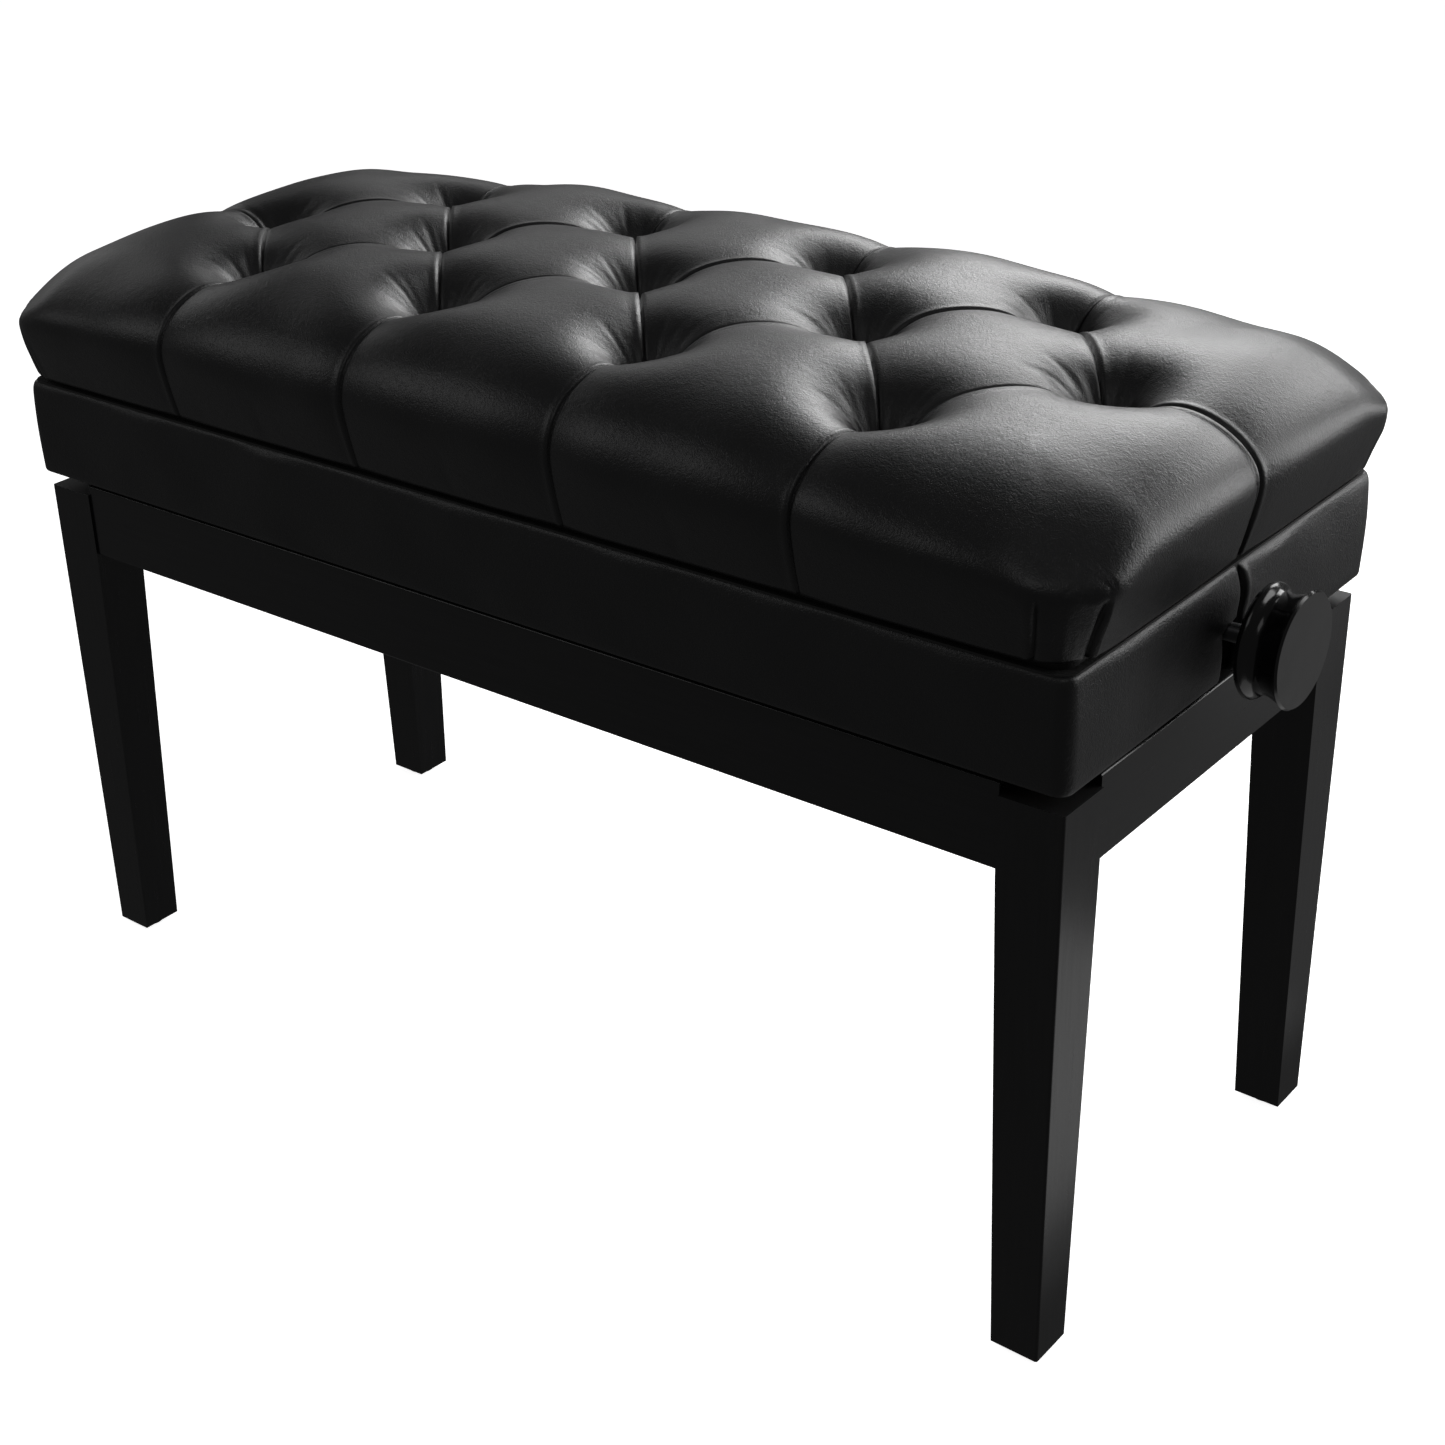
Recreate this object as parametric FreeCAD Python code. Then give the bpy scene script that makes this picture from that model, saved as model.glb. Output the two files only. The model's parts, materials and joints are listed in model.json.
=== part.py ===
import FreeCAD, Part
import math
import os

# Adjustable piano bench, modelled with its seat at the lowest height.
# Millimetres. Origin on the floor under the middle, +X along the bench,
# +Y to the back, +Z up. Front pieces lie at -Y and right-hand pieces at +X.

V = FreeCAD.Vector
OUT = "parts"

# ---- driving dimensions -------------------------------------------------

# Legs and aprons
LEG_OUTER_X = 373.0
LEG_OUTER_Y = 153.0
LEG_TOP_WIDTH = 36.0
LEG_FOOT_WIDTH = 28.0
LEG_TOP_Z = 332.5
LEG_TAPER_Z = 288.0
GLIDE_HEIGHT = 4.0
GLIDE_RADIUS = 10.0
APRON_BOTTOM_Z = 291.0
APRON_TOP_Z = 339.0
APRON_THICK = 20.0
APRON_RECESS = 1.3
WOOD_EDGE = 1.5

# Corner blocks and their bolts
BLOCK_SIDE = 52.0
BLOCK_BOTTOM_Z = 295.0
BLOCK_TOP_Z = 335.0
LEG_BOLT_Z = 315.0
LEG_BOLT_RADIUS = 4.0
LEG_BOLT_DEPTH = 22.0
LEG_BOLT_TAIL = 13.0
LEG_NUT_FLATS = 13.0
LEG_NUT_THICK = 6.5
LEG_WASHER_RADIUS = 9.0
LEG_WASHER_THICK = 1.6

# Seat box: boards in a leather wrap, with a panel inside the top
WRAP_OUTER_X = 375.0
WRAP_THICK = 1.5
WRAP_CORNER = 11.0
WRAP_BOTTOM_EDGE = 4.0
SKIRT_BOTTOM_Z = 343.5
SKIRT_TOP_Z = 405.0
SKIRT_BOARD_THICK = 15.0
PANEL_THICK = 12.0
NOTCH_HALF_WIDTH = 14.0
NOTCH_TOP_Z = 380.0

# Cushion and the board it is built on
CUSHION_BOARD_TOP_Z = 410.5
CUSHION_BOARD_INSET = 6.0
CUSHION_HALF_X = 386.0
CUSHION_OVERHANG_Y = 11.0
CUSHION_TOP_Z = 498.0
CUSHION_CORNER = 30.0
CUSHION_TOP_EDGE = 29.0
CUSHION_BOTTOM_EDGE = 10.0
CUSHION_BOLT_RADIUS = 3.0
CUSHION_BOLT_X = 250.0
CUSHION_BOLT_Y = 80.0
CUSHION_BOLT_HEAD_RADIUS = 8.0
CUSHION_BOLT_HEAD_THICK = 5.0

# Screw that drives the lift
SCREW_Z = 369.0
SCREW_RADIUS = 5.0
SCREW_HALF_LENGTH = 408.0
RUNNING = 0.05
KNOB_BACK_X = 391.0
KNOB_FACE_X = 414.5
KNOB_FACE_RADIUS = 30.5
KNOB_FLANGE_RADIUS = 30.0
KNOB_WAIST_RADIUS = 26.0
BRACKET_THICK = 2.5
BRACKET_HALF_WIDTH = 22.0
BRACKET_BOTTOM_Z = 302.0
BRACKET_SCREW_Y = 14.0
BRACKET_SCREW_ZS = (310.0, 328.0)
BRACKET_TOP_Z = 384.0
BUSH_RADIUS = 8.0
BUSH_FLANGE_RADIUS = 11.0
COLLAR_RADIUS = 9.0
COLLAR_WIDTH = 7.0

# Crossed lift arms, one pair of crosses at each end of the bench
ARM_LENGTH = 250.0
ARM_PIVOT_X = 285.0
ARM_PIVOT_Z = 358.5
ARM_RISE_AT_REST = 25.0
SEAT_TRAVEL = 90.0
ARM_WIDTH = 15.0
ARM_EYE_RADIUS = 10.0
PIN_RADIUS = 4.0
PIN_SLACK = 0.3
SLOT_DRIFT_Z = 1.5
SLOT_DRIFT_X = 4.9

# Flat layers at the back, each as its near and far distance from the middle
UPPER_RAIL_Y = (113.0, 115.5)
NUT_ARM_Y = (119.0, 122.0)
FIXED_ARM_Y = (124.0, 127.0)

# Crossbars that carry the drive nuts
CROSSBAR_HALF_X = 7.0
CROSSBAR_Z = (353.0, 364.0)
CROSSBAR_END_Y = 117.5
NUT_HEAD_HALF_Y = 13.0
NUT_HEAD_TOP_Z = 378.0
NUT_RADIUS = 7.5

# Steel rails
RAIL_THICK = 2.5
RAIL_HALF_LENGTH = 297.0
LOWER_RAIL_BOTTOM_Z = 301.0
LOWER_RAIL_STRIP_TOP_Z = 335.0
LOWER_RAIL_EAR_TOP_Z = 369.5
UPPER_RAIL_BOTTOM_Z = 371.5
UPPER_RAIL_FLANGE = 22.0
UPPER_RAIL_FLANGE_THICK = 2.0

# Wood screws
SCREW_HEAD_RADIUS = 4.5
SCREW_HEAD_THICK = 2.2
SCREW_SHANK_RADIUS = 2.0
WOOD_SCREW_LENGTH = 15.0
RAIL_SCREW_Z = 318.0
RAIL_SCREW_XS = (-225.0, -110.0, 0.0, 110.0, 225.0)
SEAT_SCREW_XS = (-270.0, -150.0, 0.0, 150.0, 270.0)
SEAT_SCREW_LENGTH = 11.0
SEAT_SCREW_INSET = 8.0

# ---- derived positions --------------------------------------------------

APRON_FACE_X = LEG_OUTER_X - APRON_RECESS
APRON_FACE_Y = LEG_OUTER_Y - APRON_RECESS
APRON_INNER_X = APRON_FACE_X - APRON_THICK
APRON_INNER_Y = APRON_FACE_Y - APRON_THICK
LEG_INNER_X = LEG_OUTER_X - LEG_TOP_WIDTH
LEG_INNER_Y = LEG_OUTER_Y - LEG_TOP_WIDTH

WRAP_OUTER_Y = LEG_OUTER_Y + 5.0
BOARD_OUTER_X = WRAP_OUTER_X - WRAP_THICK
BOARD_OUTER_Y = WRAP_OUTER_Y - WRAP_THICK
BOARD_INNER_X = BOARD_OUTER_X - SKIRT_BOARD_THICK
BOARD_INNER_Y = BOARD_OUTER_Y - SKIRT_BOARD_THICK
BOARD_BOTTOM_Z = SKIRT_BOTTOM_Z + WRAP_THICK
PANEL_BOTTOM_Z = SKIRT_TOP_Z - PANEL_THICK
CUSHION_HALF_Y = WRAP_OUTER_Y + CUSHION_OVERHANG_Y

LOWER_RAIL_Y = (APRON_INNER_Y - RAIL_THICK, APRON_INNER_Y)
UPPER_PIN_Z = ARM_PIVOT_Z + ARM_RISE_AT_REST
REST_ANGLE = math.degrees(math.asin(ARM_RISE_AT_REST / ARM_LENGTH))
REST_REACH = math.sqrt(ARM_LENGTH ** 2 - ARM_RISE_AT_REST ** 2)
RAISED_REACH = math.sqrt(ARM_LENGTH ** 2 - (ARM_RISE_AT_REST + SEAT_TRAVEL) ** 2)
NUT_REST_X = ARM_PIVOT_X - REST_REACH
NUT_RAISED_X = ARM_PIVOT_X - RAISED_REACH

os.makedirs(OUT, exist_ok=True)


# ---- helpers ------------------------------------------------------------

def box(x, y, z):
    """A box from its low and high x, y and z."""
    return Part.makeBox(x[1] - x[0], y[1] - y[0], z[1] - z[0], V(x[0], y[0], z[0]))


def cylinder(radius, start, end):
    """A round bar between two points."""
    axis = end - start
    return Part.makeCylinder(radius, axis.Length, start, axis)


def bar_y(radius, x, z, y):
    """A round bar along Y through (x, z), from y[0] to y[1]."""
    return cylinder(radius, V(x, y[0], z), V(x, y[1], z))


def bar_x(radius, y, z, x):
    """A round bar along X through (y, z), from x[0] to x[1]."""
    return cylinder(radius, V(x[0], y, z), V(x[1], y, z))


def fuse(shapes):
    """One solid from several that touch."""
    whole = shapes[0]
    for shape in shapes[1:]:
        whole = whole.fuse(shape)
    return whole.removeSplitter()


def slot_y(x, z, y, radius):
    """The space that a round bar along Y sweeps over x[0]..x[1] and z[0]..z[1]."""
    block = box((x[0] - radius, x[1] + radius), y, (z[0] - radius, z[1] + radius))
    edges = [edge for edge in block.Edges
             if abs(edge.tangentAt(edge.FirstParameter).y) > 0.9]
    return block.makeFillet(radius - 0.01, edges)


def flip_x(shape):
    """The same shape on the other end of the bench."""
    return shape.mirror(V(0, 0, 0), V(1, 0, 0))


def flip_y(shape):
    """The same shape on the other long side of the bench."""
    return shape.mirror(V(0, 0, 0), V(0, 1, 0))


def four_corners(shape):
    """The back right-hand shape and its three mirrored copies, by corner name."""
    return {
        "back_right": shape,
        "back_left": flip_x(shape),
        "front_right": flip_y(shape),
        "front_left": flip_x(flip_y(shape)),
    }


def vertical_edges(shape):
    """The edges of a shape that run straight up."""
    return [edge for edge in shape.Edges
            if abs(edge.tangentAt(edge.FirstParameter).z) > 0.99]


def edges_at_z(shape, z):
    """The edges that lie wholly at one height."""
    return [edge for edge in shape.Edges
            if abs(edge.BoundBox.ZMin - z) < 1e-4 and abs(edge.BoundBox.ZMax - z) < 1e-4]


def save(name, shape):
    """Write one named piece."""
    shape.exportStep(os.path.join(OUT, name + ".step"))


# ---- legs, glides and aprons --------------------------------------------

def leg_section(width, z):
    """The square outline of the back right-hand leg at one height."""
    corners = [
        V(LEG_OUTER_X, LEG_OUTER_Y, z),
        V(LEG_OUTER_X - width, LEG_OUTER_Y, z),
        V(LEG_OUTER_X - width, LEG_OUTER_Y - width, z),
        V(LEG_OUTER_X, LEG_OUTER_Y - width, z),
    ]
    return Part.makePolygon(corners + corners[:1])


def make_leg():
    """A leg whose outer faces are upright and whose inner faces taper."""
    taper = Part.makeLoft(
        [leg_section(LEG_FOOT_WIDTH, GLIDE_HEIGHT), leg_section(LEG_TOP_WIDTH, LEG_TAPER_Z)],
        True, True)
    head = box((LEG_INNER_X, LEG_OUTER_X), (LEG_INNER_Y, LEG_OUTER_Y), (LEG_TAPER_Z, LEG_TOP_Z))
    leg = taper.fuse(head).removeSplitter()
    outer = [edge for edge in vertical_edges(leg)
             if edge.BoundBox.XMax > LEG_OUTER_X - 0.1 and edge.BoundBox.YMax > LEG_OUTER_Y - 0.1]
    return leg.makeFillet(WOOD_EDGE, outer)


def diagonal_point(inwards, z):
    """A point on the corner diagonal, measured inwards from the leg's inner corner."""
    step = inwards / math.sqrt(2.0)
    return V(LEG_INNER_X - step, LEG_INNER_Y - step, z)


def make_block():
    """The triangular block glued behind a corner, notched round the leg."""
    corners = [
        V(APRON_INNER_X, APRON_INNER_Y, BLOCK_BOTTOM_Z),
        V(APRON_INNER_X - BLOCK_SIDE, APRON_INNER_Y, BLOCK_BOTTOM_Z),
        V(APRON_INNER_X, APRON_INNER_Y - BLOCK_SIDE, BLOCK_BOTTOM_Z),
    ]
    outline = Part.makePolygon(corners + corners[:1])
    block = Part.Face(outline).extrude(V(0, 0, BLOCK_TOP_Z - BLOCK_BOTTOM_Z))
    leg_space = box((LEG_INNER_X, LEG_OUTER_X), (LEG_INNER_Y, LEG_OUTER_Y), (0, APRON_TOP_Z))
    return block.cut(leg_space)


# Distance from the leg's inner corner to the block's long face
BLOCK_FACE = (LEG_INNER_X + LEG_INNER_Y - APRON_INNER_X - APRON_INNER_Y + BLOCK_SIDE) / math.sqrt(2.0)

leg_bolt = cylinder(
    LEG_BOLT_RADIUS,
    diagonal_point(BLOCK_FACE + LEG_BOLT_TAIL, LEG_BOLT_Z),
    diagonal_point(-LEG_BOLT_DEPTH, LEG_BOLT_Z))


def make_leg_nut():
    """The washer and hexagon nut on the inner end of a leg bolt."""
    start = diagonal_point(BLOCK_FACE, LEG_BOLT_Z)
    middle = diagonal_point(BLOCK_FACE + LEG_WASHER_THICK, LEG_BOLT_Z)
    end = diagonal_point(BLOCK_FACE + LEG_WASHER_THICK + LEG_NUT_THICK, LEG_BOLT_Z)
    washer = cylinder(LEG_WASHER_RADIUS, start, middle)
    across = V(1, -1, 0).normalize()
    upward = V(0, 0, 1)
    radius = LEG_NUT_FLATS / math.sqrt(3.0)
    corners = []
    for index in range(7):
        angle = math.radians(60 * index)
        spoke = across * math.cos(angle) + upward * math.sin(angle)
        corners.append(middle + spoke * radius)
    nut = Part.Face(Part.makePolygon(corners)).extrude(end - middle)
    return washer.fuse(nut).removeSplitter().cut(leg_bolt)


leg = make_leg().cut(leg_bolt)
block = make_block().cut(leg_bolt)
for corner, shape in four_corners(leg).items():
    save("leg_" + corner, shape)
for corner, shape in four_corners(block).items():
    save("corner_block_" + corner, shape)
save("leg_bolts", Part.makeCompound(list(four_corners(leg_bolt).values())))
save("leg_nuts", Part.makeCompound(list(four_corners(make_leg_nut()).values())))

foot_x = LEG_OUTER_X - LEG_FOOT_WIDTH / 2
foot_y = LEG_OUTER_Y - LEG_FOOT_WIDTH / 2
glide = cylinder(GLIDE_RADIUS, V(foot_x, foot_y, 0), V(foot_x, foot_y, GLIDE_HEIGHT))
glide = glide.makeFillet(1.2, edges_at_z(glide, 0))
save("foot_glides", Part.makeCompound(list(four_corners(glide).values())))


# ---- wood screws --------------------------------------------------------

def wood_screw(seat, direction, length):
    """A pan-head screw whose head sits on seat and whose shank follows direction."""
    along = V(*direction)
    head = cylinder(SCREW_HEAD_RADIUS, seat - along * SCREW_HEAD_THICK, seat)
    head = head.makeFillet(0.8, [head.Edges[0]])
    shank = cylinder(SCREW_SHANK_RADIUS, seat, seat + along * length)
    return head.fuse(shank).removeSplitter()


def cut_all(shape, cutters):
    """A shape with several cutters taken out of it."""
    for cutter in cutters:
        shape = shape.cut(cutter)
    return shape


rail_screws = [
    wood_screw(V(x, LOWER_RAIL_Y[0], RAIL_SCREW_Z), (0, 1, 0), WOOD_SCREW_LENGTH)
    for x in RAIL_SCREW_XS
]
bracket_screws = [
    wood_screw(V(APRON_INNER_X - BRACKET_THICK, y, z), (1, 0, 0), WOOD_SCREW_LENGTH)
    for y in (-BRACKET_SCREW_Y, BRACKET_SCREW_Y) for z in BRACKET_SCREW_ZS
]
base_screws = rail_screws + [flip_y(screw) for screw in rail_screws]
base_screws += bracket_screws + [flip_x(screw) for screw in bracket_screws]
save("base_screws", Part.makeCompound(base_screws))

apron_x = (-LEG_INNER_X, LEG_INNER_X)
apron_y = (-LEG_INNER_Y, LEG_INNER_Y)
apron_z = (APRON_BOTTOM_Z, APRON_TOP_Z)
long_apron = box(apron_x, (APRON_INNER_Y, APRON_FACE_Y), apron_z)
end_apron = box((APRON_INNER_X, APRON_FACE_X), apron_y, apron_z)
long_edges = [edge for edge in long_apron.Edges
              if edge.Length > 100 and edge.BoundBox.YMax > APRON_FACE_Y - 0.1]
end_edges = [edge for edge in end_apron.Edges
             if edge.Length > 100 and edge.BoundBox.XMax > APRON_FACE_X - 0.1]
long_apron = cut_all(long_apron.makeFillet(WOOD_EDGE, long_edges), rail_screws)
end_apron = cut_all(end_apron.makeFillet(WOOD_EDGE, end_edges), bracket_screws)
save("apron_back", long_apron)
save("apron_front", flip_y(long_apron))
save("apron_right", end_apron)
save("apron_left", flip_x(end_apron))


# ---- lower rails, screw brackets and bushes ------------------------------

def make_lower_rail():
    """A steel strip on the inside of a long apron, with ears for the pivots and nut slots."""
    outer_y = (LOWER_RAIL_Y[0] - 1, LOWER_RAIL_Y[1] + 1)
    strip = box((-RAIL_HALF_LENGTH, RAIL_HALF_LENGTH), LOWER_RAIL_Y,
                (LOWER_RAIL_BOTTOM_Z, LOWER_RAIL_STRIP_TOP_Z))
    ear_z = (LOWER_RAIL_STRIP_TOP_Z - 4, LOWER_RAIL_EAR_TOP_Z)
    middle_half = NUT_RAISED_X + 20
    shapes = [strip, box((-middle_half, middle_half), LOWER_RAIL_Y, ear_z)]
    for side in (-1, 1):
        ear_x = (side * ARM_PIVOT_X - 12, side * ARM_PIVOT_X + 12)
        shapes.append(box(ear_x, LOWER_RAIL_Y, ear_z))
    rail = fuse(shapes)
    rounded = [edge for edge in rail.Edges
               if edge.BoundBox.ZMin > LOWER_RAIL_EAR_TOP_Z - 0.1
               and edge.Length < RAIL_THICK + 0.1]
    rail = rail.makeFillet(8.0, rounded)
    for side in (-1, 1):
        rail = rail.cut(bar_y(PIN_RADIUS + RUNNING, side * ARM_PIVOT_X, ARM_PIVOT_Z, outer_y))
        ends = sorted((side * (NUT_REST_X - PIN_SLACK), side * (NUT_RAISED_X + PIN_SLACK)))
        rail = rail.cut(slot_y(ends, (ARM_PIVOT_Z, ARM_PIVOT_Z), outer_y, PIN_RADIUS + PIN_SLACK))
    return cut_all(rail, rail_screws)


lower_rail = make_lower_rail()
save("lower_rail_back", lower_rail)
save("lower_rail_front", flip_y(lower_rail))

bracket = box((APRON_INNER_X - BRACKET_THICK, APRON_INNER_X),
              (-BRACKET_HALF_WIDTH, BRACKET_HALF_WIDTH), (BRACKET_BOTTOM_Z, BRACKET_TOP_Z))
bracket_corners = [edge for edge in bracket.Edges
                   if edge.Length < BRACKET_THICK + 0.1 and edge.BoundBox.ZMin > BRACKET_TOP_Z - 0.1]
bracket = bracket.makeFillet(12.0, bracket_corners)
bush_x = (APRON_INNER_X - BRACKET_THICK - 2.0, APRON_INNER_X + 2.0)
bracket = bracket.cut(bar_x(BUSH_RADIUS, 0, SCREW_Z, bush_x))
bracket = cut_all(bracket, bracket_screws)
save("screw_bracket_right", bracket)
save("screw_bracket_left", flip_x(bracket))

bush = fuse([bar_x(BUSH_RADIUS, 0, SCREW_Z, (bush_x[0], APRON_INNER_X)),
             bar_x(BUSH_FLANGE_RADIUS, 0, SCREW_Z, (APRON_INNER_X, bush_x[1]))])
bush = bush.cut(bar_x(SCREW_RADIUS + RUNNING, 0, SCREW_Z, (bush_x[0] - 1, bush_x[1] + 1)))
save("screw_bush_right", bush)
save("screw_bush_left", flip_x(bush))


# ---- drive screw, collars and knobs --------------------------------------

drive_screw = bar_x(SCREW_RADIUS, 0, SCREW_Z, (-SCREW_HALF_LENGTH, SCREW_HALF_LENGTH))
save("drive_screw", drive_screw)


def make_collar(start):
    """A collar fixed on the screw, as wide as COLLAR_WIDTH from start."""
    return bar_x(COLLAR_RADIUS, 0, SCREW_Z, (start, start + COLLAR_WIDTH)).cut(drive_screw)


inner_collar = make_collar(bush_x[0] - 0.3 - COLLAR_WIDTH)
outer_collar = make_collar(bush_x[1] + 0.3)
collars = [inner_collar, outer_collar, flip_x(inner_collar), flip_x(outer_collar)]
save("screw_collars", Part.makeCompound(collars))


def make_knob():
    """A turned hand knob: rounded back flange, hollow waist and flat face."""
    profile = [
        (KNOB_BACK_X, 0.0),
        (KNOB_BACK_X, KNOB_FLANGE_RADIUS - 1.5),
        (KNOB_BACK_X + 1.5, KNOB_FLANGE_RADIUS),
        (KNOB_BACK_X + 4.0, KNOB_FLANGE_RADIUS - 0.4),
        (KNOB_BACK_X + 7.0, KNOB_WAIST_RADIUS + 1.0),
        (KNOB_BACK_X + 11.0, KNOB_WAIST_RADIUS),
        (KNOB_BACK_X + 16.0, KNOB_WAIST_RADIUS + 1.2),
        (KNOB_FACE_X - 3.0, KNOB_FACE_RADIUS - 1.4),
        (KNOB_FACE_X - 1.2, KNOB_FACE_RADIUS),
        (KNOB_FACE_X, KNOB_FACE_RADIUS - 1.0),
        (KNOB_FACE_X, 0.0),
    ]
    points = [V(x, 0, SCREW_Z + radius) for x, radius in profile]
    waist = Part.BSplineCurve()
    waist.interpolate(points[2:8])
    straight = [points[7], points[8], points[9], points[10], points[0], points[1], points[2]]
    edges = [waist.toShape()]
    for start, end in zip(straight[:-1], straight[1:]):
        edges.append(Part.makeLine(start, end))
    turned = Part.Face(Part.Wire(edges)).revolve(V(0, 0, SCREW_Z), V(1, 0, 0), 360)
    return Part.Solid(turned.Shells[0]).cut(drive_screw)


knob = make_knob()
save("knob_right", knob)
save("knob_left", flip_x(knob))


# ---- crossbars that carry the nuts ---------------------------------------

CROSSBAR_PIN_END_Y = APRON_INNER_Y + 1.5


def make_crossbar():
    """The bar across the bench that the nut pulls along, with a round pin at each end."""
    x = (NUT_REST_X - CROSSBAR_HALF_X, NUT_REST_X + CROSSBAR_HALF_X)
    shapes = [
        box(x, (-CROSSBAR_END_Y, CROSSBAR_END_Y), CROSSBAR_Z),
        box(x, (-NUT_HEAD_HALF_Y, NUT_HEAD_HALF_Y), (CROSSBAR_Z[0], NUT_HEAD_TOP_Z)),
        bar_y(PIN_RADIUS, NUT_REST_X, ARM_PIVOT_Z, (-CROSSBAR_PIN_END_Y, CROSSBAR_PIN_END_Y)),
    ]
    return fuse(shapes).cut(bar_x(NUT_RADIUS, 0, SCREW_Z, (x[0] - 1, x[1] + 1)))


def make_nut():
    """The threaded bronze nut pressed into a crossbar."""
    x = (NUT_REST_X - CROSSBAR_HALF_X - 3.0, NUT_REST_X + CROSSBAR_HALF_X + 3.0)
    bore = bar_x(SCREW_RADIUS + RUNNING, 0, SCREW_Z, (x[0] - 1, x[1] + 1))
    return bar_x(NUT_RADIUS, 0, SCREW_Z, x).cut(bore)


save("crossbar_right", make_crossbar())
save("crossbar_left", flip_x(make_crossbar()))
save("drive_nut_right", make_nut())
save("drive_nut_left", flip_x(make_nut()))


# ---- crossed arms --------------------------------------------------------

ARM_MIDDLE = V((ARM_PIVOT_X + NUT_REST_X) / 2, 0, (ARM_PIVOT_Z + UPPER_PIN_Z) / 2)


def flat_arm(y, start, end):
    """A flat bar with round ends between two points given as (x, z)."""
    shapes = []
    for x, z in (start, end):
        shapes.append(bar_y(ARM_WIDTH / 2, x, z, y))
    length = math.hypot(end[0] - start[0], end[1] - start[1])
    web = box((0, length), y, (-ARM_WIDTH / 2, ARM_WIDTH / 2))
    angle = math.degrees(math.atan2(end[1] - start[1], end[0] - start[0]))
    web.rotate(V(0, 0, 0), V(0, 1, 0), -angle)
    web.translate(V(start[0], 0, start[1]))
    return fuse(shapes + [web])


def make_fixed_arm():
    """The right-hand arm at the back that hinges on the lower rail and slides under the seat."""
    arm = flat_arm(FIXED_ARM_Y, (ARM_PIVOT_X, ARM_PIVOT_Z), (NUT_REST_X, UPPER_PIN_Z))
    through = (FIXED_ARM_Y[0] - 1, FIXED_ARM_Y[1] + 1)
    holes = [
        bar_y(PIN_RADIUS, ARM_PIVOT_X, ARM_PIVOT_Z, through),
        bar_y(PIN_RADIUS, NUT_REST_X, UPPER_PIN_Z, through),
        bar_y(PIN_RADIUS, ARM_MIDDLE.x, ARM_MIDDLE.z, through),
    ]
    return cut_all(arm, holes)


def make_nut_arm():
    """The right-hand arm at the back that hinges on the crossbar, with a long middle eye."""
    arm = flat_arm(NUT_ARM_Y, (NUT_REST_X, ARM_PIVOT_Z), (ARM_PIVOT_X, UPPER_PIN_Z))
    through = (NUT_ARM_Y[0] - 1, NUT_ARM_Y[1] + 1)
    clear = PIN_RADIUS + PIN_SLACK
    eye = slot_y((-SLOT_DRIFT_X - 4.0, 4.0), (-1.0, SLOT_DRIFT_Z + 1.0), NUT_ARM_Y, ARM_EYE_RADIUS)
    gap = slot_y((-SLOT_DRIFT_X, 0.0), (0.0, SLOT_DRIFT_Z), through, clear)
    for shape in (eye, gap):
        shape.rotate(V(0, 0, 0), V(0, 1, 0), -REST_ANGLE)
        shape.translate(ARM_MIDDLE)
    arm = fuse([arm, eye]).cut(gap)
    hinge = bar_y(PIN_RADIUS + RUNNING, NUT_REST_X, ARM_PIVOT_Z, through)
    top = bar_y(PIN_RADIUS, ARM_PIVOT_X, UPPER_PIN_Z, through)
    return cut_all(arm, [hinge, top])


def headed_rod(x, z, rod_end, heads):
    """A rod across the bench with a flat round head at each end."""
    rod = bar_y(PIN_RADIUS, x, z, (-rod_end, rod_end))
    head = bar_y(PIN_RADIUS + 2.5, x, z, heads)
    return fuse([rod, head, flip_y(head)])


def middle_rivet():
    """The rivet in a fixed arm that the nut arm's long eye slides round."""
    pin = bar_y(PIN_RADIUS, ARM_MIDDLE.x, ARM_MIDDLE.z, (117.0, FIXED_ARM_Y[1] + 0.6))
    inner_head = bar_y(PIN_RADIUS + 4.5, ARM_MIDDLE.x, ARM_MIDDLE.z, (117.0, 118.5))
    outer_head = bar_y(PIN_RADIUS + 2.0, ARM_MIDDLE.x, ARM_MIDDLE.z,
                       (FIXED_ARM_Y[1], FIXED_ARM_Y[1] + 1.2))
    return fuse([pin, inner_head, outer_head])


fixed_arm = make_fixed_arm()
nut_arm = make_nut_arm()
pivot_rod = headed_rod(ARM_PIVOT_X, ARM_PIVOT_Z, APRON_INNER_Y + 2.0,
                       (APRON_INNER_Y + 0.3, APRON_INNER_Y + 2.3))
slide_rod = headed_rod(NUT_REST_X, UPPER_PIN_Z, FIXED_ARM_Y[1] + 1.0,
                       (FIXED_ARM_Y[1], FIXED_ARM_Y[1] + 1.5))
seat_rod = headed_rod(ARM_PIVOT_X, UPPER_PIN_Z, NUT_ARM_Y[1] + 0.8,
                      (NUT_ARM_Y[1], NUT_ARM_Y[1] + 1.2))
rivets = Part.makeCompound([middle_rivet(), flip_y(middle_rivet())])

right_arm_pieces = {
    "fixed_arm_right_back": fixed_arm,
    "fixed_arm_right_front": flip_y(fixed_arm),
    "nut_arm_right_back": nut_arm,
    "nut_arm_right_front": flip_y(nut_arm),
    "pivot_rod_right": pivot_rod,
    "slide_rod_right": slide_rod,
    "seat_rod_right": seat_rod,
    "arm_rivets_right": rivets,
}
for name, shape in right_arm_pieces.items():
    save(name, shape)
    save(name.replace("right", "left"), flip_x(shape))


# ---- upper rails under the seat ------------------------------------------

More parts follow.
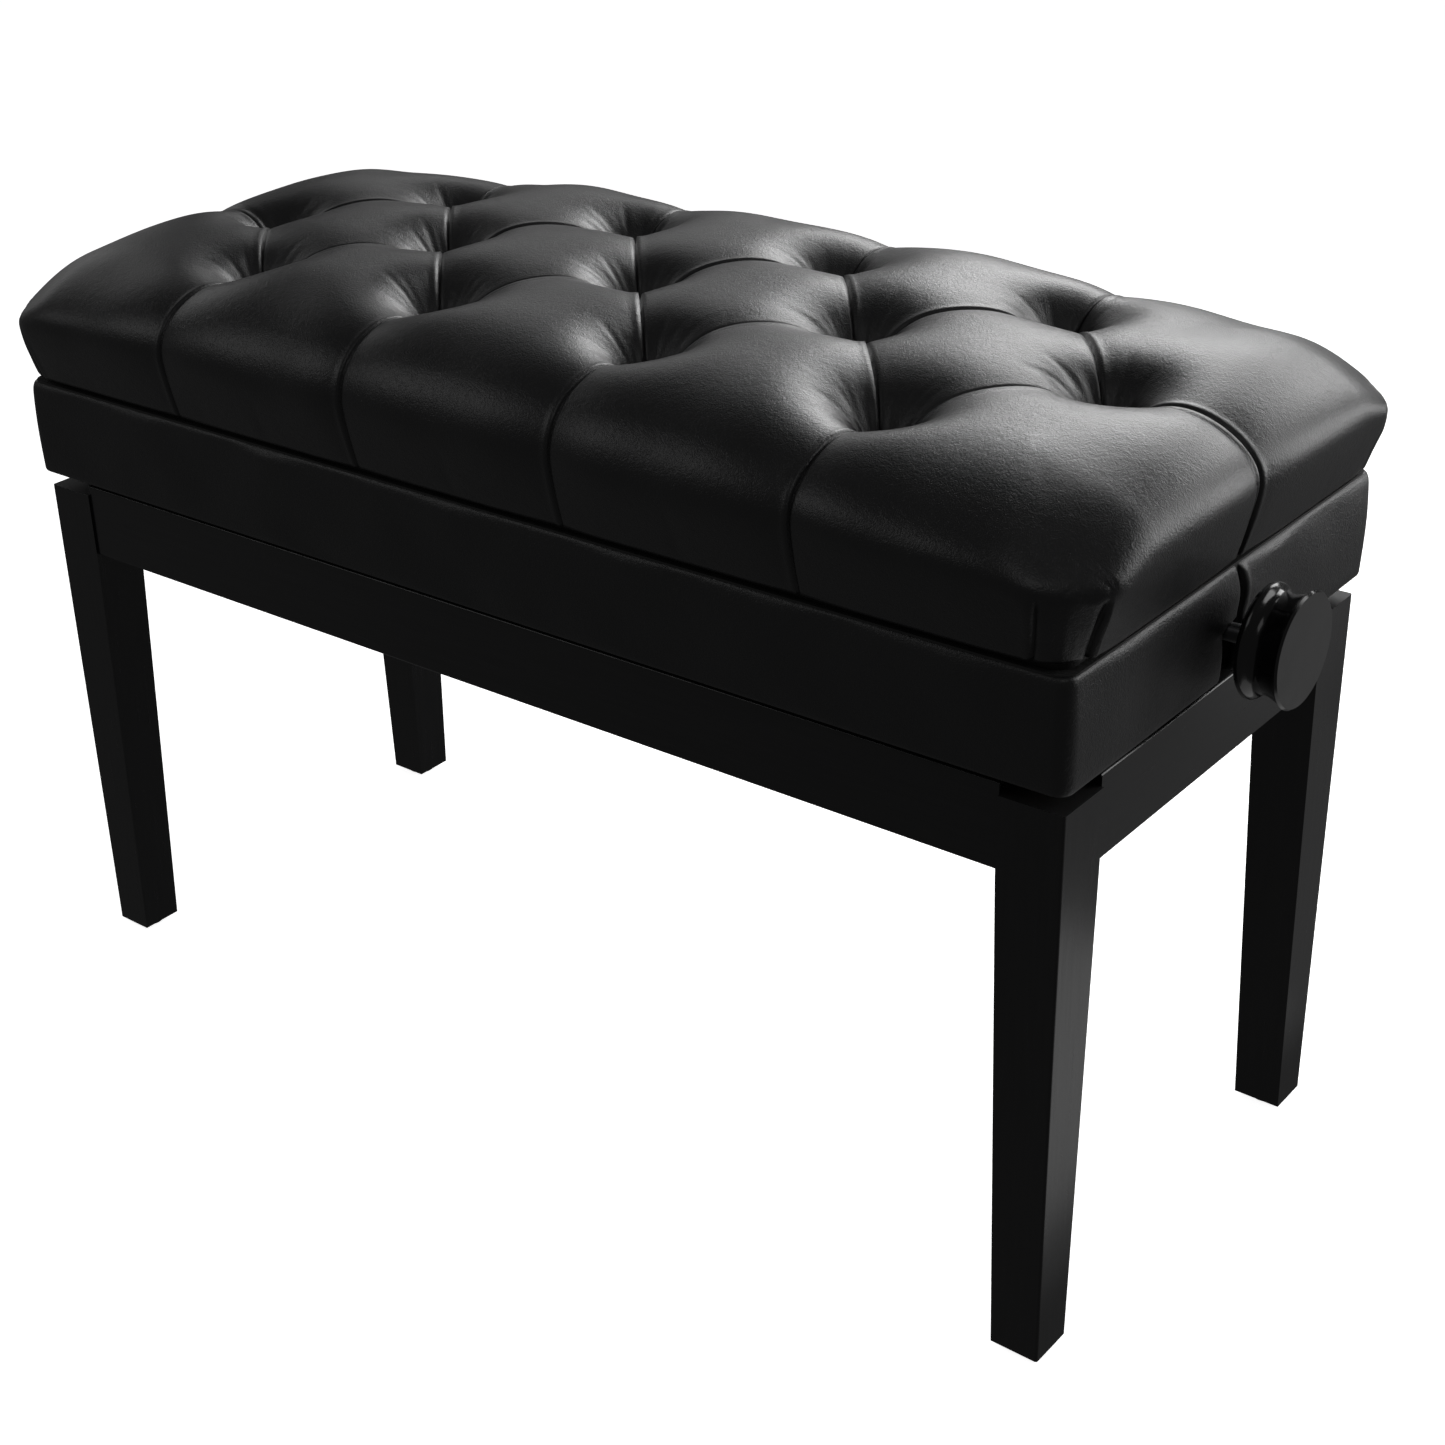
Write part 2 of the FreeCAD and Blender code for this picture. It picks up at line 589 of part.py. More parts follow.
def make_upper_rail():
    """An angle rail screwed under the seat panel, slotted for the arms' upper rods."""
    length = (-RAIL_HALF_LENGTH - 8, RAIL_HALF_LENGTH + 8)
    web = box(length, UPPER_RAIL_Y, (UPPER_RAIL_BOTTOM_Z, PANEL_BOTTOM_Z))
    flange = box(length, (UPPER_RAIL_Y[1] - UPPER_RAIL_FLANGE, UPPER_RAIL_Y[1]),
                 (PANEL_BOTTOM_Z - UPPER_RAIL_FLANGE_THICK, PANEL_BOTTOM_Z))
    rail = fuse([web, flange])
    through = (UPPER_RAIL_Y[0] - 1, UPPER_RAIL_Y[1] + 1)
    clear = PIN_RADIUS + PIN_SLACK
    for side in (-1, 1):
        inner = sorted((side * NUT_REST_X, side * NUT_RAISED_X))
        outer = sorted((side * ARM_PIVOT_X, side * (ARM_PIVOT_X + SLOT_DRIFT_X)))
        for ends in (inner, outer):
            heights = (UPPER_PIN_Z, UPPER_PIN_Z + SLOT_DRIFT_Z)
            rail = rail.cut(slot_y(ends, heights, through, clear))
    return rail


seat_screw_z = PANEL_BOTTOM_Z - UPPER_RAIL_FLANGE_THICK
seat_screw_y = UPPER_RAIL_Y[1] - UPPER_RAIL_FLANGE + SEAT_SCREW_INSET
rail_to_panel = [
    wood_screw(V(x, seat_screw_y, seat_screw_z), (0, 0, 1), SEAT_SCREW_LENGTH)
    for x in SEAT_SCREW_XS
]
rail_to_panel += [flip_y(screw) for screw in rail_to_panel]
save("seat_screws", Part.makeCompound(rail_to_panel))
upper_rail = cut_all(make_upper_rail(), rail_to_panel)
save("upper_rail_back", upper_rail)
save("upper_rail_front", flip_y(upper_rail))


# ---- seat box ------------------------------------------------------------

def rounded_block(half_x, half_y, z, corner):
    """An upright block with rounded vertical corners."""
    block = box((-half_x, half_x), (-half_y, half_y), z)
    return block.makeFillet(corner, vertical_edges(block))


def make_notch():
    """The round-topped cutter that clears the drive screw at the right-hand end."""
    x = (BOARD_INNER_X - 5, WRAP_OUTER_X + 5)
    arch_z = NOTCH_TOP_Z - NOTCH_HALF_WIDTH
    arch = bar_x(NOTCH_HALF_WIDTH, 0, arch_z, x)
    throat = box(x, (-NOTCH_HALF_WIDTH, NOTCH_HALF_WIDTH), (SKIRT_BOTTOM_Z - 5, arch_z))
    return fuse([arch, throat])


notch = make_notch()
both_notches = [notch, flip_x(notch)]
box_z = (SKIRT_BOTTOM_Z, SKIRT_TOP_Z)
board_z = (BOARD_BOTTOM_Z, SKIRT_TOP_Z)
core = rounded_block(BOARD_OUTER_X, BOARD_OUTER_Y, board_z, WRAP_CORNER - WRAP_THICK)
wrap = rounded_block(WRAP_OUTER_X, WRAP_OUTER_Y, box_z, WRAP_CORNER)
wrap = wrap.makeFillet(WRAP_BOTTOM_EDGE, edges_at_z(wrap, SKIRT_BOTTOM_Z))
core = core.makeFillet(WRAP_BOTTOM_EDGE - WRAP_THICK, edges_at_z(core, BOARD_BOTTOM_Z))
hollow = box((-BOARD_INNER_X, BOARD_INNER_X), (-BOARD_INNER_Y, BOARD_INNER_Y),
             (SKIRT_BOTTOM_Z - 5, SKIRT_TOP_Z + 5))
save("skirt_wrap", cut_all(wrap, [core, hollow] + both_notches))

ring = core.cut(hollow)
past_end = BOARD_OUTER_X + 5
long_board = ring.common(box((-past_end, past_end), (BOARD_INNER_Y, BOARD_OUTER_Y + 5), board_z))
end_board = ring.common(box((BOARD_INNER_X, past_end), (-BOARD_INNER_Y, BOARD_INNER_Y), board_z))
end_board = end_board.cut(notch)
save("skirt_board_back", long_board)
save("skirt_board_front", flip_y(long_board))
save("skirt_board_right", end_board)
save("skirt_board_left", flip_x(end_board))

bolt_head_top = V(CUSHION_BOLT_X, CUSHION_BOLT_Y, PANEL_BOTTOM_Z)
bolt_head_bottom = bolt_head_top - V(0, 0, CUSHION_BOLT_HEAD_THICK)
bolt_end = V(CUSHION_BOLT_X, CUSHION_BOLT_Y, CUSHION_BOARD_TOP_Z)
cushion_bolt = fuse([
    cylinder(CUSHION_BOLT_HEAD_RADIUS, bolt_head_bottom, bolt_head_top),
    cylinder(CUSHION_BOLT_RADIUS, bolt_head_bottom, bolt_end),
])
cushion_bolts = list(four_corners(cushion_bolt).values())
save("cushion_bolts", Part.makeCompound(cushion_bolts))

panel = box((-BOARD_INNER_X, BOARD_INNER_X), (-BOARD_INNER_Y, BOARD_INNER_Y),
            (PANEL_BOTTOM_Z, SKIRT_TOP_Z))
save("seat_panel", cut_all(panel, rail_to_panel + cushion_bolts))


# ---- cushion -------------------------------------------------------------

cushion_board = rounded_block(
    WRAP_OUTER_X - CUSHION_BOARD_INSET, WRAP_OUTER_Y - CUSHION_BOARD_INSET,
    (SKIRT_TOP_Z, CUSHION_BOARD_TOP_Z), WRAP_CORNER)
save("cushion_board", cut_all(cushion_board, cushion_bolts))

cushion_z = (CUSHION_BOARD_TOP_Z, CUSHION_TOP_Z)
cushion = rounded_block(CUSHION_HALF_X, CUSHION_HALF_Y, cushion_z, CUSHION_CORNER)
cushion = cushion.makeFillet(CUSHION_TOP_EDGE, edges_at_z(cushion, CUSHION_TOP_Z))
cushion = cushion.makeFillet(CUSHION_BOTTOM_EDGE, edges_at_z(cushion, CUSHION_BOARD_TOP_Z))
save("cushion", cushion)
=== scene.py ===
import json
import math

import bmesh
import bpy
import numpy as np
from mathutils import Matrix, Vector


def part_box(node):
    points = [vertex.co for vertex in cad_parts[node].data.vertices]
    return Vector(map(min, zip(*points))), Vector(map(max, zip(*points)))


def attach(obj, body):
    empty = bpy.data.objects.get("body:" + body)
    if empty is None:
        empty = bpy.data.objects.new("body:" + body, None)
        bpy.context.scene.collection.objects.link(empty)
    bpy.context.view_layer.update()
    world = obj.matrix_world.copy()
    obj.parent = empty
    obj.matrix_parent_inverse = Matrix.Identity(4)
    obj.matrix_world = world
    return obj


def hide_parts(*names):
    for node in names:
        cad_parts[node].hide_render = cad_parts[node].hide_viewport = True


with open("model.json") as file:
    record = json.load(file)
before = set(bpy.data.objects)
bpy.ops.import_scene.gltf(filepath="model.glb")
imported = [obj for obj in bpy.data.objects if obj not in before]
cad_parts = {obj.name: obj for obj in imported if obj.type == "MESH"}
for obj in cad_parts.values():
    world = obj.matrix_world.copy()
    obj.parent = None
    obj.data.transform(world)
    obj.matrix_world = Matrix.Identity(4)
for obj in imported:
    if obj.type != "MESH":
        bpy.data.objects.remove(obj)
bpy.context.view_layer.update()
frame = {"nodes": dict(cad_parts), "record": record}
NODES = frame["nodes"]

# ---- small helpers --------------------------------------------------------

def mesh_object(name, points, faces, smooth=True):
    """A mesh piece from arrays of points and faces."""
    mesh = bpy.data.meshes.new(name)
    mesh.from_pydata([tuple(p) for p in points], [], [tuple(f) for f in faces])
    mesh.validate()
    mesh.update()
    if smooth:
        mesh.shade_smooth()
    piece = bpy.data.objects.new(name, mesh)
    bpy.context.scene.collection.objects.link(piece)
    return piece


def smoothstep(low, high, value):
    """0 below low, 1 above high, smooth between."""
    t = np.clip((value - low) / (high - low), 0.0, 1.0)
    return t * t * (3 - 2 * t)


def rounded_line(points, rounds):
    """A polyline with its corners cut again and again, so that it runs smoothly."""
    points = np.array(points, dtype=float)
    for _ in range(rounds):
        before, after = points[:-1], points[1:]
        cut = np.stack([0.75 * before + 0.25 * after, 0.25 * before + 0.75 * after], axis=1)
        points = np.concatenate([points[:1], cut.reshape(-1, points.shape[1]), points[-1:]])
    return points


# ---- materials ------------------------------------------------------------

def new_material(name):
    """An empty node material and its shader."""
    material = bpy.data.materials.new(name)
    material.use_nodes = True
    nodes = material.node_tree.nodes
    return material, nodes, material.node_tree.links, nodes["Principled BSDF"]


def add_node(nodes, kind, **values):
    """A shader node with some of its inputs set; an underscore in a keyword stands for a space."""
    node = nodes.new("ShaderNode" + kind)
    for name, value in values.items():
        node.inputs[name.replace("_", " ")].default_value = value
    return node


def add_tone(nodes, colour, darkest, lightest):
    """A ramp from a darker to a lighter shade of a colour."""
    tone = nodes.new("ShaderNodeValToRGB")
    tone.color_ramp.elements[0].color = (*[c * darkest for c in colour], 1.0)
    tone.color_ramp.elements[1].color = (*[c * lightest for c in colour], 1.0)
    return tone


def leather(name, colour, grain_scale, grain_depth, rough, wear):
    """Dyed leather: pebbled grain, fine creases, uneven polish."""
    material, nodes, links, shader = new_material(name)
    place = nodes.new("ShaderNodeTexCoord")
    pebbles = nodes.new("ShaderNodeTexVoronoi")
    pebbles.feature = "SMOOTH_F1"
    pebbles.inputs["Scale"].default_value = grain_scale
    pebbles.inputs["Smoothness"].default_value = 0.6
    pebbles.inputs["Randomness"].default_value = 1.0
    warp = add_node(nodes, "TexNoise", Scale=grain_scale * 0.35, Detail=4.0)
    mix = nodes.new("ShaderNodeMix")
    mix.data_type = "VECTOR"
    mix.inputs["Factor"].default_value = 0.012
    links.new(place.outputs["Object"], warp.inputs["Vector"])
    links.new(place.outputs["Object"], mix.inputs["A"])
    links.new(warp.outputs["Color"], mix.inputs["B"])
    links.new(mix.outputs["Result"], pebbles.inputs["Vector"])
    creases = add_node(nodes, "TexNoise", Scale=grain_scale * 0.22, Detail=9.0, Roughness=0.62)
    links.new(place.outputs["Object"], creases.inputs["Vector"])
    fine = add_node(nodes, "Bump", Strength=0.55, Distance=grain_depth)
    links.new(pebbles.outputs["Distance"], fine.inputs["Height"])
    broad = add_node(nodes, "Bump", Strength=0.35, Distance=grain_depth * 2.2)
    links.new(creases.outputs["Fac"], broad.inputs["Height"])
    links.new(fine.outputs["Normal"], broad.inputs["Normal"])
    links.new(broad.outputs["Normal"], shader.inputs["Normal"])
    patches = add_node(nodes, "TexNoise", Scale=14.0, Detail=5.0)
    links.new(place.outputs["Object"], patches.inputs["Vector"])
    polish = add_node(nodes, "MapRange", To_Min=rough - wear, To_Max=rough + wear)
    links.new(patches.outputs["Fac"], polish.inputs["Value"])
    links.new(polish.outputs["Result"], shader.inputs["Roughness"])
    tone = add_tone(nodes, colour, 0.8, 1.25)
    links.new(patches.outputs["Fac"], tone.inputs["Fac"])
    links.new(tone.outputs["Color"], shader.inputs["Base Color"])
    shader.inputs["Specular IOR Level"].default_value = 0.5
    return material


def lacquered_wood(name, colour, rough, grain, stretch):
    """Wood under lacquer: long grain lines, faint in colour and gloss, and tops left unpolished."""
    material, nodes, links, shader = new_material(name)
    place = nodes.new("ShaderNodeTexCoord")
    mapping = add_node(nodes, "Mapping", Scale=stretch)
    lines = add_node(nodes, "TexNoise", Scale=60.0, Detail=8.0, Roughness=0.6)
    links.new(place.outputs["Object"], mapping.inputs["Vector"])
    links.new(mapping.outputs["Vector"], lines.inputs["Vector"])
    bump = add_node(nodes, "Bump", Strength=grain, Distance=0.0004)
    links.new(lines.outputs["Fac"], bump.inputs["Height"])
    links.new(bump.outputs["Normal"], shader.inputs["Normal"])
    polish = add_node(nodes, "MapRange", To_Min=rough - 0.06, To_Max=rough + 0.08)
    links.new(lines.outputs["Fac"], polish.inputs["Value"])
    surface = nodes.new("ShaderNodeNewGeometry")
    facing = nodes.new("ShaderNodeSeparateXYZ")
    links.new(surface.outputs["Normal"], facing.inputs["Vector"])
    unpolished = add_node(nodes, "MapRange", From_Min=0.8, From_Max=0.98, To_Max=0.4)
    links.new(facing.outputs["Z"], unpolished.inputs["Value"])
    total = nodes.new("ShaderNodeMath")
    links.new(polish.outputs["Result"], total.inputs[0])
    links.new(unpolished.outputs["Result"], total.inputs[1])
    links.new(total.outputs["Value"], shader.inputs["Roughness"])
    tone = add_tone(nodes, colour, 0.75, 1.2)
    tone.color_ramp.elements[0].position = 0.35
    tone.color_ramp.elements[1].position = 0.7
    links.new(lines.outputs["Fac"], tone.inputs["Fac"])
    links.new(tone.outputs["Color"], shader.inputs["Base Color"])
    return material


def metal(name, colour, rough, metallic, scratch=0.15):
    """Metal or paint on metal, with fine scratches and smudges."""
    material, nodes, links, shader = new_material(name)
    place = nodes.new("ShaderNodeTexCoord")
    smudges = add_node(nodes, "TexNoise", Scale=90.0, Detail=6.0)
    links.new(place.outputs["Object"], smudges.inputs["Vector"])
    polish = add_node(nodes, "MapRange", To_Min=max(rough - 0.08, 0.02), To_Max=rough + 0.1)
    links.new(smudges.outputs["Fac"], polish.inputs["Value"])
    links.new(polish.outputs["Result"], shader.inputs["Roughness"])
    bump = add_node(nodes, "Bump", Strength=scratch, Distance=0.0001)
    links.new(smudges.outputs["Fac"], bump.inputs["Height"])
    links.new(bump.outputs["Normal"], shader.inputs["Normal"])
    shader.inputs["Base Color"].default_value = (*colour, 1.0)
    shader.inputs["Metallic"].default_value = metallic
    return material


def paint(node, material):
    """Gives a CAD node's object one material."""
    mesh = NODES[node].data
    mesh.materials.clear()
    mesh.materials.append(material)


CUSHION_LEATHER = leather("cushion_leather", (0.0080, 0.0080, 0.0087), 680.0, 0.00024, 0.37, 0.05)
SKIRT_LEATHER = leather("skirt_leather", (0.0075, 0.0075, 0.0082), 700.0, 0.00025, 0.42, 0.05)
LACQUER_BLACK = (0.006, 0.006, 0.0065)
LACQUER_UPRIGHT = lacquered_wood("lacquer_upright", LACQUER_BLACK, 0.24, 0.25, (6.0, 6.0, 0.35))
LACQUER_LONG = lacquered_wood("lacquer_long", LACQUER_BLACK, 0.24, 0.25, (0.35, 6.0, 6.0))
LACQUER_ACROSS = lacquered_wood("lacquer_across", LACQUER_BLACK, 0.24, 0.25, (6.0, 0.35, 6.0))
PLYWOOD = lacquered_wood("plywood", (0.3, 0.2, 0.11), 0.6, 0.5, (0.5, 6.0, 6.0))
# Painted shade: the boards that show only in the gap under the cushion and in the knob's slot are coloured
# near black, for the shade in those gaps.
PAINTED_SHADE_BOARD = lacquered_wood("black_board", (0.008, 0.008, 0.008), 0.6, 0.5, (0.5, 6.0, 6.0))
BLACK_STEEL = metal("black_steel", (0.012, 0.012, 0.013), 0.38, 0.0)
ZINC = metal("zinc_steel", (0.55, 0.55, 0.56), 0.3, 1.0)
# Painted shade: the drive screw's steel is coloured near black, far darker than bare steel, for the shade
# it sits in inside the knob's slot.
PAINTED_SHADE_STEEL = metal("painted_shade_steel", (0.05, 0.05, 0.052), 0.4, 1.0)
BRONZE = metal("bronze", (0.5, 0.3, 0.12), 0.35, 1.0)
KNOB_PLASTIC = metal("knob_plastic", (0.004, 0.004, 0.0043), 0.15, 0.0, 0.03)
GLIDE_PLASTIC = metal("glide_plastic", (0.03, 0.03, 0.03), 0.5, 0.0)

SLOT_MATERIALS = {
    "board": PLYWOOD,
    # painted shade: the near-black boards stand for the shade in the gaps
    "black_board": PAINTED_SHADE_BOARD,
    "cushion_leather": CUSHION_LEATHER,
    "skirt_leather": SKIRT_LEATHER,
    "black_steel": BLACK_STEEL,
    "zinc_steel": ZINC,
    "bronze": BRONZE,
    "knob_plastic": KNOB_PLASTIC,
    "glide_plastic": GLIDE_PLASTIC,
    "black_lacquer": LACQUER_UPRIGHT,
}
for part in frame["record"]["subparts"]:
    paint(part["node"], SLOT_MATERIALS[part["material_slot"]])
for node in ("apron_front", "apron_back"):
    paint(node, LACQUER_LONG)
for node in ("apron_left", "apron_right"):
    paint(node, LACQUER_ACROSS)


# ---- cushion: tufting layout, in metres -------------------------------------

PITCH = 0.151          # between dimples of one row
ROW = 0.088            # between rows
CELL_STEPS = 42        # mesh cells from a dimple to the next row's dimple, each way
CROWDING = 0.06        # how far mesh lines crowd towards the dimples
EDGE_STEPS = 36        # mesh cells from the outer dimples to the top's edge
EDGE_GRADING = 1.2     # over 1 makes the cells smaller near the dimples
SIDE_STEPS = 24        # mesh cells down a side
FOLD_GAP = 0.0013      # spacing of the mesh lines beside a corner fold
FOLD_CLEAR = 1.6       # gaps that other mesh lines keep away from a corner fold

FRONT_ROW = [((i - 1.5) * PITCH, -ROW) for i in range(4)]
MIDDLE_ROW = [((i - 2.0) * PITCH, 0.0) for i in range(5)]
BACK_ROW = [((i - 1.5) * PITCH, ROW) for i in range(4)]
DIMPLES = FRONT_ROW + MIDDLE_ROW + BACK_ROW

CUSHION_LOW, CUSHION_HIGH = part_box("cushion")
HALF_X = CUSHION_HIGH.x
HALF_Y = CUSHION_HIGH.y
BASE_Z = CUSHION_LOW.z

# Cross-section of the cushion's edge: insets from its outer face, and heights above its base
REACH = 0.080          # inset where the flat top begins to round over
TOP_HEIGHT = 0.084
WIDEST_HEIGHT = 0.039
WIDEST_INSET = 0.0014
FOOT_INSET = 0.0094
ROUND_POWER = 2.2      # of the rounding from the top to the widest line; 2 would be an ellipse
FOOT_POWER = 1.4       # of the curve from the widest line in to the foot
CORNER_INSET = 0.006   # the least inset at a corner, so that it doesn't overhang its foot
SEAM_HEIGHT = 0.048    # where the mesh's top grid ends and its sides begin
PLAN_POWER = 2.6       # how square the corners are in plan, at the top
PLAN_SQUARING = 3.4    # and how much squarer they are at the foot
CROWN = 0.002          # how much higher the middle stands than the front and back
END_DROP = 0.009       # how much lower the ends are than the middle
CORNER_DROP = 0.008    # how much lower the corners of the top are
CORNER_SINK = 0.016    # and how much more the last of each corner sinks

PUFF_HEIGHT = 0.0042   # of the leather between the folds
PUFF_WIDTH = 0.017
PUFF_POWER = 1.15
DIMPLE_DEPTH = 0.038
DIMPLE_WIDTH = 0.020
DIMPLE_POWER = 1.25
GROOVE_DEPTH = 0.0045  # of the fold lines
GROOVE_WIDTH = 0.0009
LIP_HEIGHT = 0.0011
LIP_WIDTH = 0.0024
LIP_LEAN = 0.0014      # how far a fold's lip leans over its groove
BACK_LEAN = 0.0008     # and how far the other side of the fold closes up
WRINKLE_DEPTH = 0.0012
WAVE_HEIGHT = 0.0022   # of the slow waves, for each unit of their length

# The creases round every dimple: direction, half angle, number and strength of each fan
FANS = [
    (math.pi - 0.1, 0.62, 6, 1.0),
    (0.5 * math.pi, 0.45, 4, 0.6),
    (0.15, 0.5, 4, 0.45),
    (-0.75 * math.pi, 0.4, 3, 0.3),
]

# The small upright pleat beside each corner, on the long sides
FOLD_U = 0.371
PLEAT_DEPTH = 0.0040
PLEAT_WIDTH = 0.0008
PLEAT_LIP = 0.0008

# Each corner's tuck, on the ends
FOLD_W = 0.161
TUCK_DEPTH = 0.0055
TUCK_WIDTH = 0.0016
TUCK_LIP = 0.0014
TUCK_RECESS = 0.0010   # how much lower the leather lies on the corner's side of the tuck
TUCK_REACH = 0.014     # how far from the tuck its slant is felt
TUCK_SLANT = 0.010     # how much nearer the middle the tuck is at its top than at its foot
PINCH_DROP = 0.013     # how far below the rim each tuck's pinch is

# The second crease in front of each end pleat
CREASE_DEPTH = 0.0015
CREASE_WIDTH = 0.0018

CLOTH_STRIDE = 3       # mesh lines of the cushion to one line of the simulated cover
CLOTH_RING_STRIDE = 4  # and the same down its sides
CLOTH_FRAMES = 20
CLOTH_CAP = 0.0013     # the furthest the simulation may move the cover
CLOTH_SETTINGS = {
    "quality": 6,
    "mass": 0.25,
    "tension_stiffness": 30.0,
    "compression_stiffness": 12.0,
    "shear_stiffness": 12.0,
    "bending_stiffness": 4.0,
    "air_damping": 4.0,
    "shrink_min": -0.002,
    "pin_stiffness": 2.0,
    "use_pressure": True,
    "uniform_pressure_force": 2.0,
}
HOLD_AT_FOLD = 0.75    # how firmly the simulated cover is held along its folds; 1 would fix it
HOLD_WIDTH = 0.006     # how far from a fold that hold reaches
DIMPLE_HOLD = 0.014    # and how far round a dimple the cover is held fast
SMOOTHING_ROUNDS = 8   # for the moves that the simulation gives


def profile_curve():
    """The edge profile from the top down, as length along it, inset and height."""
    turn = np.linspace(0.0, 0.5 * math.pi, 80)
    over_inset = REACH - (REACH - WIDEST_INSET) * np.sin(turn) ** (2.0 / ROUND_POWER)
    over_height = WIDEST_HEIGHT + (TOP_HEIGHT - WIDEST_HEIGHT) * np.cos(turn) ** (2.0 / ROUND_POWER)
    fall = np.linspace(0.0, 1.0, 40)[1:]
    under_inset = WIDEST_INSET + (FOOT_INSET - WIDEST_INSET) * fall ** FOOT_POWER
    inset = np.concatenate([over_inset, under_inset])
    height = np.concatenate([over_height, WIDEST_HEIGHT * (1.0 - fall)])
    length = np.concatenate([[0.0], np.cumsum(np.hypot(np.diff(inset), np.diff(height)))])
    return length, inset, height


PROFILE_LENGTH, PROFILE_INSET, PROFILE_HEIGHT = profile_curve()
TOP_LENGTH = float(np.interp(SEAM_HEIGHT, PROFILE_HEIGHT[::-1], PROFILE_LENGTH[::-1]))
SIDE_LENGTH = float(PROFILE_LENGTH[-1]) - TOP_LENGTH
INNER_X = HALF_X - REACH
INNER_Y = HALF_Y - REACH
TOP_X = INNER_X + TOP_LENGTH
TOP_Y = INNER_Y + TOP_LENGTH
FAR_U = TOP_X + SIDE_LENGTH
FAR_W = TOP_Y + SIDE_LENGTH


def axis_stops(inner, outer, cells, fold):
    """Grid stops along one axis: crowded near the dimples, then on to the edge, with lines at the fold."""
    t = np.linspace(0.0, 1.0, CELL_STEPS + 1)[:-1]
    cell = t - CROWDING * np.sin(2 * math.pi * t)
    size = 2 * inner / cells
    lattice = np.concatenate([-inner + size * (index + cell) for index in range(cells)] + [[inner]])
    margin = inner + (outer - inner) * (np.arange(1, EDGE_STEPS + 1) / EDGE_STEPS) ** EDGE_GRADING
    margin = margin[np.abs(margin - fold) > FOLD_CLEAR * FOLD_GAP]
    margin = np.sort(np.concatenate([margin, fold + FOLD_GAP * np.array([-1.0, 0.0, 1.0])]))
    return np.concatenate([-margin[::-1], lattice, margin])


U_STOPS = axis_stops(2 * PITCH, TOP_X, 8, FOLD_U)
W_STOPS = axis_stops(ROW, TOP_Y, 2, FOLD_W)
S_STOPS = np.linspace(0.0, SIDE_LENGTH, SIDE_STEPS + 1)[1:]


def base_surface(u, w, side):
    """Unrolled top coordinates plus length down the side, to points on the untufted cushion."""
    clamp_u = np.clip(u, -INNER_X, INNER_X)
    clamp_w = np.clip(w, -INNER_Y, INNER_Y)
    off_u = u - clamp_u
    off_w = w - clamp_w
    larger = np.maximum(np.abs(off_u), np.abs(off_w))
    diagonal = np.minimum(np.abs(off_u), np.abs(off_w)) / np.maximum(larger, 1e-9)
    along = larger + side
    inset = np.interp(along, PROFILE_LENGTH, PROFILE_INSET)
    least = CORNER_INSET * smoothstep(0.45, 0.95, diagonal)
    out = REACH - (inset ** 4 + least ** 4) ** 0.25
    height = np.interp(along, PROFILE_LENGTH, PROFILE_HEIGHT)
    power = PLAN_POWER + PLAN_SQUARING * smoothstep(0.0, TOP_LENGTH + SIDE_LENGTH, along)
    size = (np.abs(off_u) ** power + np.abs(off_w) ** power) ** (1.0 / power)
    size = np.maximum(size, 1e-9)
    x = clamp_u + off_u / size * out
    y = clamp_w + off_w / size * out
    reach_x = np.abs(x) / HALF_X
    reach_y = np.abs(y) / HALF_Y
    crown = CROWN * (1.0 - smoothstep(0.1, 0.6, reach_y))
    crown -= END_DROP * smoothstep(0.25, 0.9, reach_x)
    crown -= CORNER_DROP * smoothstep(0.5, 1.0, reach_x) * smoothstep(0.35, 1.0, reach_y)
    sink = CORNER_SINK * smoothstep(0.86, 1.0, reach_x) * smoothstep(0.62, 0.98, reach_y)
    z = BASE_Z + height
    z = z + crown * smoothstep(0.030, 0.078, height) - sink * smoothstep(0.0, 0.070, height)
    return np.stack([x, y, z], axis=-1)


def pleats():
    """The folds as (start, end, side of the lip): between dimples, and from the outer ones down."""
    lines = []
    for index, (u, w) in enumerate(MIDDLE_ROW):
        if index > 0:
            lines.append((FRONT_ROW[index - 1], (u, w), -1.0))
            lines.append(((u, w), BACK_ROW[index - 1], -1.0))
        if index < 4:
            lines.append((FRONT_ROW[index], (u, w), 1.0))
            lines.append(((u, w), BACK_ROW[index], 1.0))
    for u, w in FRONT_ROW:
        lines.append(((u, w), (u, -FAR_W), -1.0))
    for u, w in BACK_ROW:
        lines.append(((u, w), (u, FAR_W), -1.0))
    lines.append((MIDDLE_ROW[0], (-FAR_U, 0.0), 1.0))
    lines.append((MIDDLE_ROW[-1], (FAR_U, 0.0), 1.0))
    return lines


PLEATS = pleats()


def near_segment(u, w, start, end):
    """Distance to a segment, the side of it, and the unit direction towards it."""
    du, dw = end[0] - start[0], end[1] - start[1]
    t = np.clip(((u - start[0]) * du + (w - start[1]) * dw) / (du * du + dw * dw), 0.0, 1.0)
    back_u = start[0] + t * du - u
    back_w = start[1] + t * dw - w
    distance = np.hypot(back_u, back_w)
    side = np.sign(du * (w - start[1]) - dw * (u - start[0]))
    safe = np.maximum(distance, 1e-9)
    return distance, side, back_u / safe, back_w / safe


def dimple_field(u, w):
    """How deep the tufts pull the leather down, and the distance to the nearest of them."""
    funnel = np.zeros_like(u)
    nearest = np.full_like(u, 1.0)
    for centre in DIMPLES:
        radius = np.hypot(u - centre[0], w - centre[1])
        nearest = np.minimum(nearest, radius)
        funnel += np.exp(-(radius / DIMPLE_WIDTH) ** DIMPLE_POWER)
    return funnel, nearest


